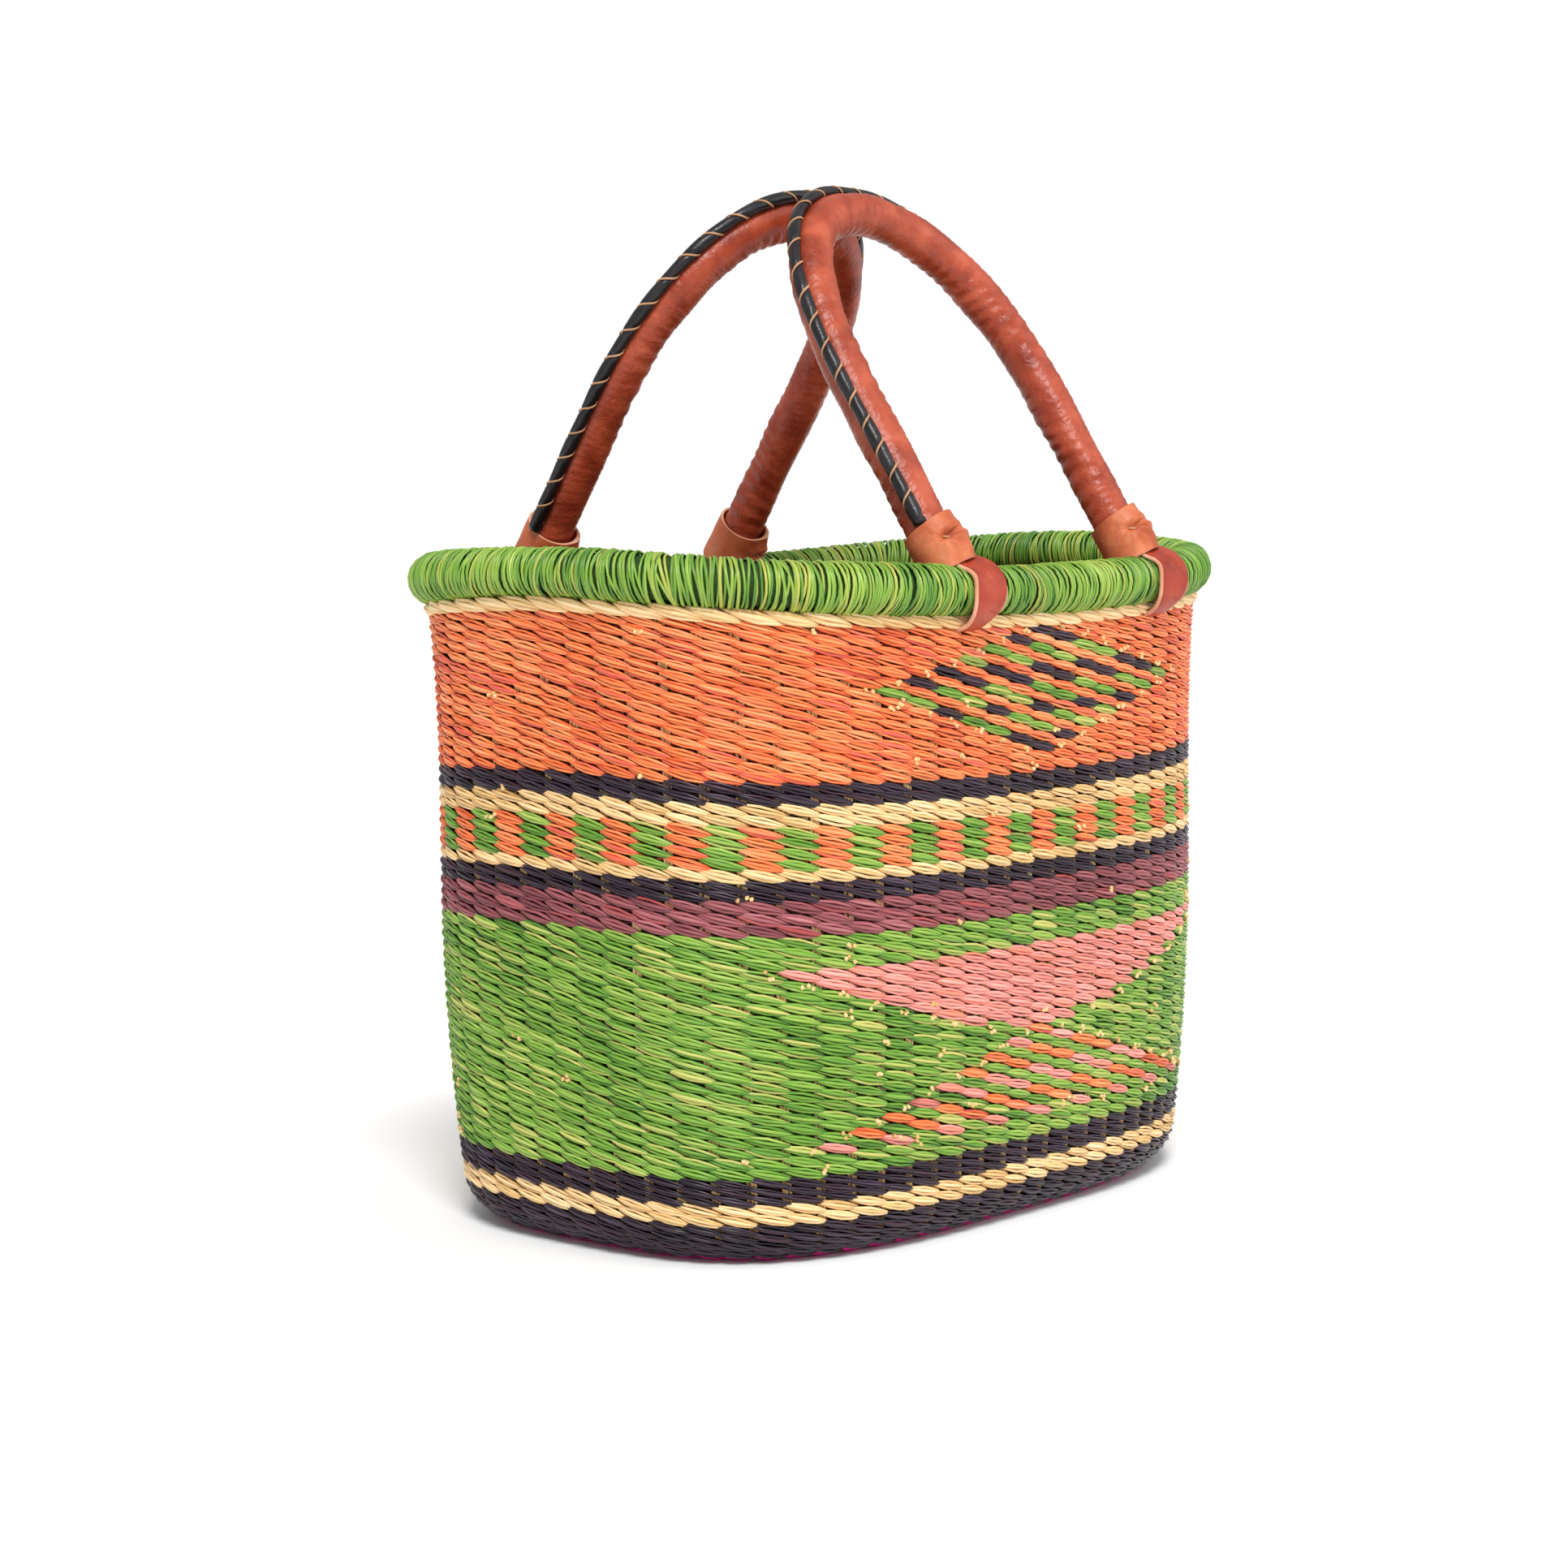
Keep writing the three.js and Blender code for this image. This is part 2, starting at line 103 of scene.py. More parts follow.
def raised(x, y, nx, ny, inset, height):
    """A point over the plan at a height, with the taper, flare and saddle of the wall."""
    level = np.clip(height, 0, WEAVE_TOP)
    taper = np.maximum(0, 1 - level / TAPER_HEIGHT) ** 2
    flare = np.maximum(0, (level - FLARE_HEIGHT) / (WEAVE_TOP - FLARE_HEIGHT)) ** 2
    long_scale = 1 + (FLARE_LENGTH * flare - TAPER_LENGTH * taper) / HALF_LENGTH
    wide_scale = 1 + (FLARE_WIDTH * flare - TAPER_WIDTH * taper) / HALF_WIDTH
    turn = np.arctan2(y / HALF_WIDTH, x / HALF_LENGTH)
    rise = SADDLE * (level / WEAVE_TOP) ** SADDLE_POWER * np.cos(2 * turn)
    return np.stack([x * long_scale - inset * nx, y * wide_scale - inset * ny, height + rise], -1)


def wall(run, climb, depth):
    """Round the basket, up the wall from where the foot curls under, and in from the face."""
    x, y, nx, ny = around(run, plan, PLAN_SHAPE)
    lean = np.clip(climb / FOOT_RADIUS, 0, 0.5 * np.pi)
    radius = FOOT_RADIUS - depth
    inset = FOOT_RADIUS - radius * np.sin(lean) + np.maximum(0, -climb)
    height = FOOT_RADIUS - radius * np.cos(lean)
    height = height + np.maximum(0, climb - 0.5 * np.pi * FOOT_RADIUS)
    return raised(x, y, nx, ny, inset, height)


print("front of the rim, mm:", wall(0.0, WEAVE_TOP + 11.4, 0.0).round(1))

# %% [markdown]
# ## Straws in bulk
# One straw is a thin, slightly flattened rod that comes out from under a stake, swells as it
# passes over it and dives again. A curve object with a bevel could be one straw, but twelve
# thousand of them would be slow and hard to colour one by one. Here a whole band is swept at once:
# an array of centre lines goes in and one closed tube per line comes out. Each point also keeps
# where it lies in its own straw, so that a material can run its streaks along the straw.

# %% Sweep many closed tubes along many lines
def unit(v):
    return v / np.maximum(np.linalg.norm(v, axis=-1, keepdims=True), 1e-12)


def sweep(centre, out, wide, thick, sides, tone, dye, finish=0, twist=0.0, ring=False,
          square=1.0):
    """Closed tubes along centre lines (lines, steps, 3); out is the way their flat faces look."""
    lines, count = centre.shape[:2]
    if ring:
        along = unit(np.roll(centre, -1, 1) - np.roll(centre, 1, 1))
    else:
        along = unit(np.gradient(centre, axis=1))
    side = unit(np.cross(out, along))
    face = np.cross(along, side)
    grid = (lines, count, 1, 1)
    twist, wide, thick = (np.broadcast_to(v, (lines, count)).reshape(grid)
                          for v in (twist, wide, thick))
    turn = 0.5 * np.pi + 2 * np.pi * np.arange(sides) / sides
    c, s = ((np.sign(v) * np.abs(v) ** square).reshape(1, 1, sides, 1)
            for v in (np.cos(turn), np.sin(turn)))
    side, face = side[:, :, None], face[:, :, None]
    right = np.cos(twist) * side + np.sin(twist) * face
    front = np.cos(twist) * face - np.sin(twist) * side
    points = centre[:, :, None] + wide * c * right + thick * s * front
    step = np.linalg.norm(np.diff(centre, axis=1), axis=-1)
    run = np.concatenate([np.zeros((lines, 1)), np.cumsum(step, 1)], 1)
    seed = np.asarray(dye).reshape(-1, 1, 1) * 57 + np.arange(lines).reshape(-1, 1, 1) % 97
    size = (lines, count, sides)
    grain = np.stack([
        np.broadcast_to(run[:, :, None], size),
        np.broadcast_to((wide * c)[..., 0], size),
        np.broadcast_to((thick * s)[..., 0] + seed * 3.1, size),
    ], -1)
    index = np.arange(lines * count * sides).reshape(size)
    ahead = np.roll(index, -1, 1) if ring else index[:, 1:]
    here = index if ring else index[:, :-1]
    quads = np.stack([here, np.roll(here, -1, 2), np.roll(ahead, -1, 2), ahead], -1)
    finish = np.broadcast_to(finish, (lines,))
    tone = np.asarray(tone, float)
    tone = tone.reshape(tone.shape + (1,) * (3 - tone.ndim))
    faces = [quads.reshape(-1, 4)]
    inks = [np.repeat(finish, quads.shape[1] * sides)]
    if not ring:
        faces += [index[:, 0, ::-1], index[:, -1]]
        inks += [finish, finish]
    return {
        "points": points.reshape(-1, 3),
        "grain": grain.reshape(-1, 3),
        "tone": np.broadcast_to(tone, size).ravel(),
        "dye": np.repeat(np.broadcast_to(dye, (lines,)), count * sides),
        "faces": faces,
        "inks": inks,
    }


# %% [markdown]
# Sheets and leather are not straws, but they use the same kind of record, so that one function
# makes either into a mesh. Their grain is just where they are, with one tone all over.

# %% A plain skin in the same record as a sweep
def skin(points, faces, inks, tone=0.5):
    flat = points.reshape(-1, 3)
    return {
        "points": flat, "grain": flat, "tone": np.full(len(flat), tone),
        "dye": np.zeros(len(flat)), "faces": faces, "inks": inks,
    }


def round_quads(index, ahead):
    """Faces between two grids of point numbers, closed round their second axis."""
    quads = np.stack([index, np.roll(index, -1, 1), np.roll(ahead, -1, 1), ahead], -1)
    return quads.reshape(-1, 4)


# %% [markdown]
# A band's tubes become one mesh, which rides on a body of the CAD model and stands in for the
# plain CAD solid of the same band. The mesh is filled from the arrays directly, which takes a
# moment where a modelling operator would take minutes.

# %% Make one object from swept tubes
triangles_made = {}


def new_object(name, data):
    thing = bpy.data.objects.new(name, data)
    bpy.context.scene.collection.objects.link(thing)
    return thing


def make_piece(name, tubes, materials, body, nodes):
    corners, starts, inks, before, loops = [], [], [], 0, 0
    for tube in tubes:
        for faces, ink in zip(tube["faces"], tube["inks"]):
            corners.append((faces + before).ravel())
            starts.append(loops + faces.shape[1] * np.arange(len(faces)))
            inks.append(ink)
            loops += faces.size
        before += len(tube["points"])
    mesh = bpy.data.meshes.new(name)
    mesh.vertices.add(before)
    mesh.loops.add(loops)
    starts = np.concatenate(starts).astype(np.int32)
    mesh.polygons.add(len(starts))
    points = np.concatenate([tube["points"] for tube in tubes]) * MM
    mesh.vertices.foreach_set("co", points.astype(np.float32).ravel())
    mesh.loops.foreach_set("vertex_index", np.concatenate(corners).astype(np.int32))
    mesh.polygons.foreach_set("loop_start", starts)
    for material in materials:
        mesh.materials.append(material)
    mesh.polygons.foreach_set("material_index", np.concatenate(inks).astype(np.int32))
    mesh.polygons.foreach_set("use_smooth", np.ones(len(starts), bool))
    mesh.update(calc_edges=True)
    grain = mesh.attributes.new("grain", "FLOAT_VECTOR", "POINT")
    all_grain = np.concatenate([tube["grain"] for tube in tubes])
    grain.data.foreach_set("vector", all_grain.astype(np.float32).ravel())
    for key in ("tone", "dye"):
        layer = mesh.attributes.new(key, "FLOAT", "POINT")
        values = np.concatenate([tube[key] for tube in tubes])
        layer.data.foreach_set("value", values.astype(np.float32))
    piece = new_object(name, mesh)
    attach(piece, body)
    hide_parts(*nodes)
    triangles_made[name] = loops - 2 * len(starts)
    print(name, "triangles:", triangles_made[name])


# %% [markdown]
# ## Dyed straw
# Elephant grass is split, rolled in the hand and boiled in dye. The dye takes unevenly: each
# straw has its own shade, long pale streaks run down it, and a few straws come out of the pot
# another tint altogether. The skin is slightly waxy, so it is matt with a soft sheen. One
# material per dye could use a picture of straw, but streaks that follow each straw need its own
# coordinates, so noise is stretched along the `grain` that the sweep stored.

# %% Colours and a node at a time
def linear(hex_colour, alpha=1.0):
    """An sRGB hex colour as the linear numbers that shaders use."""
    parts = [int(hex_colour[i:i + 2], 16) / 255 for i in (1, 3, 5)]
    light = [p / 12.92 if p <= 0.04045 else ((p + 0.055) / 1.055) ** 2.4 for p in parts]
    return (*light, alpha)


def add_node(tree, kind, settings=None, links=None):
    """One node, its own properties and socket values set, and its inputs linked."""
    node = tree.nodes.new(kind)
    for key, value in (settings or {}).items():
        if isinstance(key, str) and hasattr(node, key):
            setattr(node, key, value)
        else:
            node.inputs[key].default_value = value
    for key, socket in (links or {}).items():
        tree.links.new(socket, node.inputs[key])
    return node


def new_material(name, finish):
    """A material with one shader, whose roughness and the like are constants on its sockets."""
    material = bpy.data.materials.new(name)
    material.use_nodes = True
    tree = material.node_tree
    tree.nodes.clear()
    surface = add_node(tree, "ShaderNodeBsdfPrincipled", finish)
    add_node(tree, "ShaderNodeOutputMaterial", {}, {"Surface": surface.outputs["BSDF"]})
    return material, tree, surface


# %% The straw material: shade by straw, streaks along it, fibres in relief
STREAK_LENGTH = 16  # mm, a pale streak in rolled grass runs about a stitch
STREAK_WIDTH = 0.55  # mm, about a third of a straw
FIBRE_WIDTH, FIBRE_LENGTH = 0.22, 9  # mm, the ribs of the leaf; finer ones would not show
FIBRE_RELIEF = 0.15  # mm
STREAK_SHARE = 0.42  # of the shade; the rest is the straw's own tone


def dyed_straw(name, shades, accent, roughness=0.46, accent_share=0.2):
    material, tree, surface = new_material(name, {
        "Roughness": roughness, "IOR": 1.47, "Specular IOR Level": 0.5})  # cellulose and wax
    grain, tone, dye = (add_node(tree, "ShaderNodeAttribute", {"attribute_name": key})
                        for key in ("grain", "tone", "dye"))
    streak_size = (1 / STREAK_LENGTH, 1 / STREAK_WIDTH / 2, 1 / STREAK_WIDTH / 2)
    stretched = add_node(tree, "ShaderNodeMapping", {"Scale": streak_size},
                         {"Vector": grain.outputs["Vector"]})
    streaks = add_node(tree, "ShaderNodeTexNoise", {"Scale": 1.0, "Detail": 3.0},
                       {"Vector": stretched.outputs["Vector"]})
    spread = add_node(tree, "ShaderNodeMapRange", {"From Min": 0.25, "From Max": 0.75},
                      {"Value": streaks.outputs["Fac"]})
    part = add_node(tree, "ShaderNodeMath", {"operation": "MULTIPLY", 1: STREAK_SHARE},
                    {0: spread.outputs["Result"]})
    shade = add_node(tree, "ShaderNodeMath", {"operation": "MULTIPLY_ADD", 1: 1 - STREAK_SHARE},
                     {0: tone.outputs["Fac"], 2: part.outputs[0]})
    ramp = add_node(tree, "ShaderNodeValToRGB", {}, {"Fac": shade.outputs[0]})
    # The first, darkest shade is reached mostly where the tone is lowered as painted shade, at a
    # straw's tips and sides.
    ramp.color_ramp.elements[0].color = linear(shades[0])
    ramp.color_ramp.elements[1].color = linear(shades[-1])
    for i, colour in enumerate(shades[1:-1], 1):
        element = ramp.color_ramp.elements.new(i / (len(shades) - 1))
        element.color = linear(colour)
    other = add_node(tree, "ShaderNodeMapRange",
                     {"From Min": 1 - accent_share, "From Max": 1.0, "To Max": 0.85},
                     {"Value": dye.outputs["Fac"]})
    tint = add_node(tree, "ShaderNodeMix", {"data_type": "RGBA", 7: linear(accent)},
                    {0: other.outputs["Result"], 6: ramp.outputs["Color"]})
    tree.links.new(tint.outputs[2], surface.inputs["Base Color"])
    fibre_size = (1 / FIBRE_LENGTH, 1 / FIBRE_WIDTH / 2, 1 / FIBRE_WIDTH / 2)
    fine = add_node(tree, "ShaderNodeMapping", {"Scale": fibre_size},
                    {"Vector": grain.outputs["Vector"]})
    fibres = add_node(tree, "ShaderNodeTexNoise", {"Scale": 1.0, "Detail": 2.0},
                      {"Vector": fine.outputs["Vector"]})
    relief = add_node(tree, "ShaderNodeBump", {"Strength": 0.35, "Distance": FIBRE_RELIEF * MM},
                      {"Height": fibres.outputs["Fac"]})
    tree.links.new(relief.outputs["Normal"], surface.inputs["Normal"])
    return material


orange_dyed = dyed_straw(
    "orange-dyed elephant-grass straw",
    ["#6e1c08", "#dc5a2a", "#f7864a", "#fea168", "#ffb98a"], "#de5a52")
green_dyed = dyed_straw(
    "green-dyed elephant-grass straw",
    ["#123008", "#467a20", "#76a539", "#97b94f", "#bcd275"], "#d2cc74", accent_share=0.25)
pink_dyed = dyed_straw(
    "pink-dyed elephant-grass straw",
    ["#7c322a", "#d57a6e", "#ee998e", "#f6a99c", "#fdbcae"], "#e98a6d")
undyed = dyed_straw(
    "undyed elephant-grass straw",
    ["#704a20", "#d8ab6b", "#f5cd93", "#fcdca8", "#ffeac0"], "#e0b974")
aubergine_dyed = dyed_straw(
    "aubergine-dyed elephant-grass straw",
    ["#060306", "#180e18", "#291b2a", "#3a2a3b", "#56465a"], "#472732", roughness=0.36)
plum_dyed = dyed_straw(
    "plum-dyed elephant-grass straw",
    ["#260c10", "#6e343d", "#934d52", "#a96065", "#c67f80"], "#b04443", accent_share=0.14)
magenta_dyed = dyed_straw(
    "magenta-dyed elephant-grass straw",
    ["#5a0430", "#a80c60", "#dc1088", "#f02aa0", "#f75cb2"], "#ff4fc0")
rim_dyed = dyed_straw(
    "green-dyed split straw wrapping",
    ["#123210", "#457927", "#77a239", "#9abb4d", "#c2d26e"], "#c6c25c",
    roughness=0.38, accent_share=0.22)
# The next two are dark, painted shade: the hoop where it shows between the turns of the wrapping,
# and the sheets behind the wall and inside the base.
painted_shade_green = dyed_straw(
    "green-dyed straw in the shade of the wrapping",
    ["#1c300c", "#2a4512", "#365618", "#42661f", "#4c7425"], "#5a4a20", roughness=0.8)
painted_shade_straw = dyed_straw(
    "straw in the shade inside the wall",
    ["#2a1c10", "#3a2818", "#4a3420", "#5a4028", "#6a4c30"], "#3a2818", roughness=0.8)
print("straw materials:", len(bpy.data.materials))

# %% [markdown]
# ## Twining
# In twining, two strands travel together round the basket and cross between stakes, so the
# outside is a row of overlapping leaf shapes, one per stake, all sloping the same way. Each leaf
# is a strand of three rolled straws. It could be one leaf-shaped mesh copied round, but copies
# show; here every straw is its own tube with its own length, twist and shade.

# %% One stitch is three straws over a stake
COLUMNS = 66
PITCH = GIRTH / COLUMNS
rng = np.random.default_rng(20)


def lattice_noise(run, climb, seed):
    """A slow drift over the wall, so that neighbouring stitches share some of their shade."""
    a = np.sin(run / 61 + seed) * np.cos(climb / 37 - seed)
    b = np.sin(run / 23 + 2.1 * seed + climb / 29)
    return 0.5 + 0.3 * a + 0.2 * b


def twine(form, run, climb, height, finish, per=3, steps=7, sides=5,
          length=1.7 * PITCH, slope=3.25, lie=-0.2, dive=3.0, plump=1.0):
    """Stitches at given places of a form; each is `per` straws that share its slope."""
    stitches = len(run)
    run = np.repeat(run + rng.normal(0, 0.35, stitches), per)[:, None]
    climb = np.repeat(climb + rng.normal(0, 0.12, stitches), per)[:, None]
    height = np.repeat(np.broadcast_to(height, stitches), per)[:, None]
    stitch_tone = np.repeat(rng.random(stitches), per)
    drift = lattice_noise(run[:, 0], climb[:, 0], 1.7)
    total = stitches * per
    share = np.tile(np.arange(per) - (per - 1) / 2, stitches)[:, None]
    t = np.linspace(-1, 1, steps)[None, :]
    t = t + rng.normal(0, 0.02, (total, steps))
    reach = np.asarray(length) * (1 + rng.normal(0, 0.035, (total, 1))) / 2
    narrow = 1 - 0.92 * np.abs(t) ** 1.25
    strand = height / per
    along = run + reach * t + rng.normal(0, 0.25, (total, 1))
    up = climb - slope * (0.8 * t + 0.2 * t ** 3)
    up = up + share * strand * narrow + rng.normal(0, 0.11, (total, 1))
    late = np.where(t > 0, 2.6, 2.1)
    rounded = 0.95 * (share * narrow) ** 2 * np.sign(dive)
    depth = lie + dive * np.abs(t) ** late + rounded
    depth = depth + rng.normal(0, 0.1, (total, 1))
    centre = form(along, up, depth)
    out = unit(form(along, up, depth - 0.5) - form(along, up, depth + 0.5))
    body = strand * 0.53 * plump * (1 + rng.normal(0, 0.1, (total, 1)))
    wide = body * (1 - 0.58 * np.abs(t) ** 1.7)
    thick = 0.85 * plump * (1 - 0.5 * np.abs(t) ** 2.2)
    twist = rng.normal(0, 0.25, (total, 1)) + rng.normal(0, 0.3, (total, 1)) * t
    tone = 0.62 * rng.random(total) + 0.25 * stitch_tone + 0.3 * drift - 0.06
    # Painted shade: the tone is lowered towards the tips, where each straw dives under its
    # neighbour, and round its sides and back, away from its face.
    flank = 0.5 - 0.5 * np.cos(2 * np.pi * np.arange(sides) / sides)
    painted_crease_shade = 0.7 * np.abs(t)[:, :, None] ** 2.4 + 0.8 * flank
    tone = tone[:, None, None] + 0.2 - painted_crease_shade
    return sweep(centre, out, wide, thick, sides, tone, rng.random(total),
                 np.repeat(np.broadcast_to(finish, stitches), per), twist)


print("stitch pitch, mm:", round(PITCH, 2))

# %% [markdown]
# ## The bands of the wall
# The weaver changes dye every few rows. For the pictures, one of the two strands is cut and
# another colour laid in: it shows at every second stake, which is why the diamond and the
# chevrons are made of dashes, while the pink triangle changes both strands. A rule says which
# columns of a row take which dye, and the whole picture is there again on the far side.

# %% The rows of each band, from the foot up
FIRST_ROW = 2.5  # mm up the wall
BANDS = [  # piece, CAD band, slot, top in mm up the wall, rows, dye
    ("magenta_edge_rows", "magenta_edge", "magenta", 8.0, 1, magenta_dyed),
    ("aubergine_foot_rows", "aubergine_foot", "aubergine", 29.4, 5, aubergine_dyed),
    ("undyed_foot_rows", "cream_foot", "cream", 38.4, 2, undyed),
    ("aubergine_lower_rows", "aubergine_lower", "aubergine", 49.4, 3, aubergine_dyed),
    ("green_rows", "green", "green", 152.4, 22, green_dyed),
    ("plum_rows", "plum", "plum", 167.4, 3, plum_dyed),
    ("aubergine_middle_rows", "aubergine_middle", "aubergine", 175.4, 2, aubergine_dyed),
    ("undyed_middle_row", "cream_middle", "cream", 180.4, 1, undyed),
    ("checker_rows", "checker", "checker", 198.4, 4, green_dyed),
    ("undyed_upper_rows", "cream_upper", "cream", 207.4, 2, undyed),
    ("aubergine_upper_rows", "aubergine_upper", "aubergine", 216.4, 2, aubergine_dyed),
    ("orange_rows", "orange", "orange", 283.4, 15, orange_dyed),
]
PICTURE_DYES = [orange_dyed, green_dyed, aubergine_dyed, pink_dyed]
ORANGE, GREEN, DARK, PINK = 1, 2, 3, 4
DIAMOND = "DDGGDDGGDGGDD"
TRIANGLE = [9, 8, 7, 6, 5, 4, 3, 1.5]
CHEVRONS = "OPOOPPOOP"
DYE_OF = {"O": ORANGE, "G": GREEN, "D": DARK, "P": PINK}
ROWS_OVER_TRIANGLE = 3
CUT_END_ASIDE = 0.8  # columns past the last stitch of a picture's row
cut_ends = []


def dye_at(name, row_from_top, column, climb):
    """0 is the band's own dye; other numbers count through PICTURE_DYES."""
    across = (column + COLUMNS // 4) % (COLUMNS // 2) - COLUMNS // 4
    inks = np.zeros(len(column), int)
    if name == "checker_rows":
        inks[column % 2 == 0] = ORANGE
    half = None
    if name == "orange_rows" and row_from_top < len(DIAMOND):
        half = min(row_from_top, len(DIAMOND) - 1 - row_from_top)
        ink = DYE_OF[DIAMOND[row_from_top]]
        inks[(np.abs(across) <= half) & ((across - half) % 2 == 0)] = ink
    row = row_from_top - ROWS_OVER_TRIANGLE
    if name == "green_rows" and 0 <= row < len(TRIANGLE):
        half = TRIANGLE[row]
        inks[np.abs(across) <= half] = PINK
    row = row - len(TRIANGLE)
    if name == "green_rows" and 0 <= row < len(CHEVRONS):
        half = row
        ink = DYE_OF[CHEVRONS[row]]
        inks[(np.abs(across) <= half) & ((across - half) % 2 == 0)] = ink
    if half is not None:
        for middle in (0, COLUMNS / 2):
            for end in (-1, 1):
                cut_ends.append(((middle + end * (half + CUT_END_ASIDE)) * PITCH, climb))
    return inks


# %% Twine every band
column = np.arange(COLUMNS)
inner_rows, low = [], FIRST_ROW
for name, band, slot, high, rows, dye in BANDS:
    height = (high - low) / rows
    runs, climbs, inks = [], [], []
    for row in range(rows):
        climb = low + (row + 0.5) * height
        runs.append(column * PITCH)
        climbs.append(np.full(COLUMNS, climb))
        inks.append(dye_at(name, rows - 1 - row, column, climb))
        inner_rows.append((climb, height, dye, inks[-1]))
    runs, climbs, inks = map(np.concatenate, (runs, climbs, inks))
    parts = 2 if rows > 15 else 1
    for i in range(parts):
        some = slice(i * len(runs) // parts, (i + 1) * len(runs) // parts)
        tubes = [twine(wall, runs[some], climbs[some], height, inks[some])]
        label = name if parts == 1 else f"{name}_{('lower', 'upper')[i]}"
        make_piece(label, tubes, [dye] + PICTURE_DYES, "basket", [f"band_{band}"])
    low = high
print("rows:", len(inner_rows), "triangles so far:", sum(triangles_made.values()))

# %% [markdown]
# The topmost row is undyed and thicker than the rest, a plain rope of straw that locks the weave
# under the rim. It is twined in the same way with fatter straws.

# %% The thick undyed row under the rim
top_row = twine(wall, column * PITCH, np.full(COLUMNS, 285.4), 5.2, 0, steps=9, sides=6,
                length=1.75 * PITCH, slope=3.0, lie=-1.7, dive=3.2, plump=1.25)
back_row = twine(wall, column * PITCH, np.full(COLUMNS, 285.2), 4.4, 0, per=2, slope=1.7,
                 lie=4.6, dive=-1.6)
make_piece("undyed_rim_row", [top_row, back_row], [undyed], "basket",
           ["cream_rim_course"])

# %% [markdown]
# ## Inside the wall
# Seen from above, the inside shows the same dyes, because each strand spends half its time there.
# It is flatter and quieter than the outside. One broad strand per stake is enough, and it keeps
# the faces few in the part of the basket that is seen least.

# %% The inner face of the weave
inner_dyes = [green_dyed, orange_dyed, aubergine_dyed, undyed, plum_dyed, magenta_dyed, pink_dyed]
run = np.concatenate([(column + 0.5) * PITCH for _ in inner_rows])
climb = np.concatenate([np.full(COLUMNS, row[0]) for row in inner_rows])
ink = []
for _, _, dye, picture in inner_rows:
    seen = [dye if p == 0 else PICTURE_DYES[p - 1] for p in picture]
    ink.append([inner_dyes.index(d) for d in seen])
lining = twine(wall, run, climb, 4.4, np.concatenate(ink), per=1, steps=5, sides=4,
               length=1.6 * PITCH, slope=-1.2, lie=4.3, dive=-1.5, plump=0.85)
make_piece("inner_face_of_the_weave", [lining], inner_dyes, "basket", ["inner_weave"])

# %% [markdown]
# ## Stakes
# The upright stakes are bundles of undyed straw, almost hidden, that glint between the rows as
# small pale flecks; most of them are kept dark, painted shade for their place deep in the wall.
# Behind them a thin sheet of straw closes the last gaps, so that no light passes through; its dark
# brown is painted shade. Where the weaver cuts a coloured strand, three pale ends stick out.

# %% Stake bundles, a backing in painted shade, and the cut ends of coloured strands
STAKE_DEPTH, BACKING_FACE, BACKING_BACK = 2.5, 3.1, 3.5
STRAYS = 90  # cut ends that belong to no picture
climbs = np.linspace(4, 284, 30)
stake_run = ((np.arange(COLUMNS) + 0.5) * PITCH)[:, None] + np.array([-1.5, 0.1, 1.6])[None, :]
stake_run = stake_run.ravel()[:, None] + rng.normal(0, 0.25, (COLUMNS * 3, len(climbs)))
stake_climb = np.broadcast_to(climbs, stake_run.shape)
# Painted shade: most stakes get a low tone, as they lie deep in the wall; a few come out pale.
stakes = sweep(wall(stake_run, stake_climb, np.full(stake_run.shape, STAKE_DEPTH)),
               wall(stake_run, stake_climb, 0.0) - wall(stake_run, stake_climb, 1.0),
               0.85, 0.8, 5, 0.05 + 0.6 * rng.random(COLUMNS * 3) ** 2, rng.random(COLUMNS * 3))

sheet_run, sheet_climb = np.arange(216) * GIRTH / 216, np.linspace(1, 284, 40)


def sheet_side(depth):
    return wall(sheet_run[:, None], sheet_climb[None, :], depth)


# The backing sheet's dark brown is painted shade: only shade is seen through the gaps.
section = np.concatenate([sheet_side(BACKING_FACE), sheet_side(BACKING_BACK)[:, ::-1]], 1)
index = np.arange(section[..., 0].size).reshape(section.shape[:2])
quads = round_quads(index, np.roll(index, -1, 0))[:, [0, 3, 2, 1]]
backing = skin(section, [quads], [np.ones(len(quads), int)], tone=0.3)
backing["grain"] = backing["points"][:, [2, 0, 1]]  # its streaks run up, like the stakes
cut_run = np.array([c[0] for c in cut_ends] + list(rng.random(STRAYS) * GIRTH))
cut_climb = np.array([c[1] for c in cut_ends] + list(rng.uniform(52, 280, STRAYS)))
cut_run = np.repeat(cut_run, 3) + rng.normal(0, 1.5, 3 * len(cut_run))
cut_climb = np.repeat(cut_climb, 3) + rng.normal(0, 0.9, 3 * len(cut_climb))
reach = np.array([1.8, 0.0, -0.8, -1.0])[None, :]
ends = sweep(wall(cut_run[:, None] + 0.3 * reach, cut_climb[:, None] + 0.2 * reach, reach),
             np.broadcast_to([0.0, 0.0, 1.0], (len(cut_run), 4, 3)), [0.9, 0.9, 0.9, 0.55],
             [0.9, 0.9, 0.9, 0.55], 7, 0.6 * rng.random(len(cut_run)), rng.random(len(cut_run)))
make_piece("stakes_and_cut_ends", [stakes, backing, ends], [undyed, painted_shade_straw], "basket",
           ["stake_cage"])

# %% [markdown]
# ## The base
# The base is begun first, as a long oval that grows row by row until it turns up into the wall.
# Concentric rows of the same twining give that: each row is a smaller oval, and its stitches
# are spaced by its own length. Both faces are made, since one is seen from below and the other
# from above.

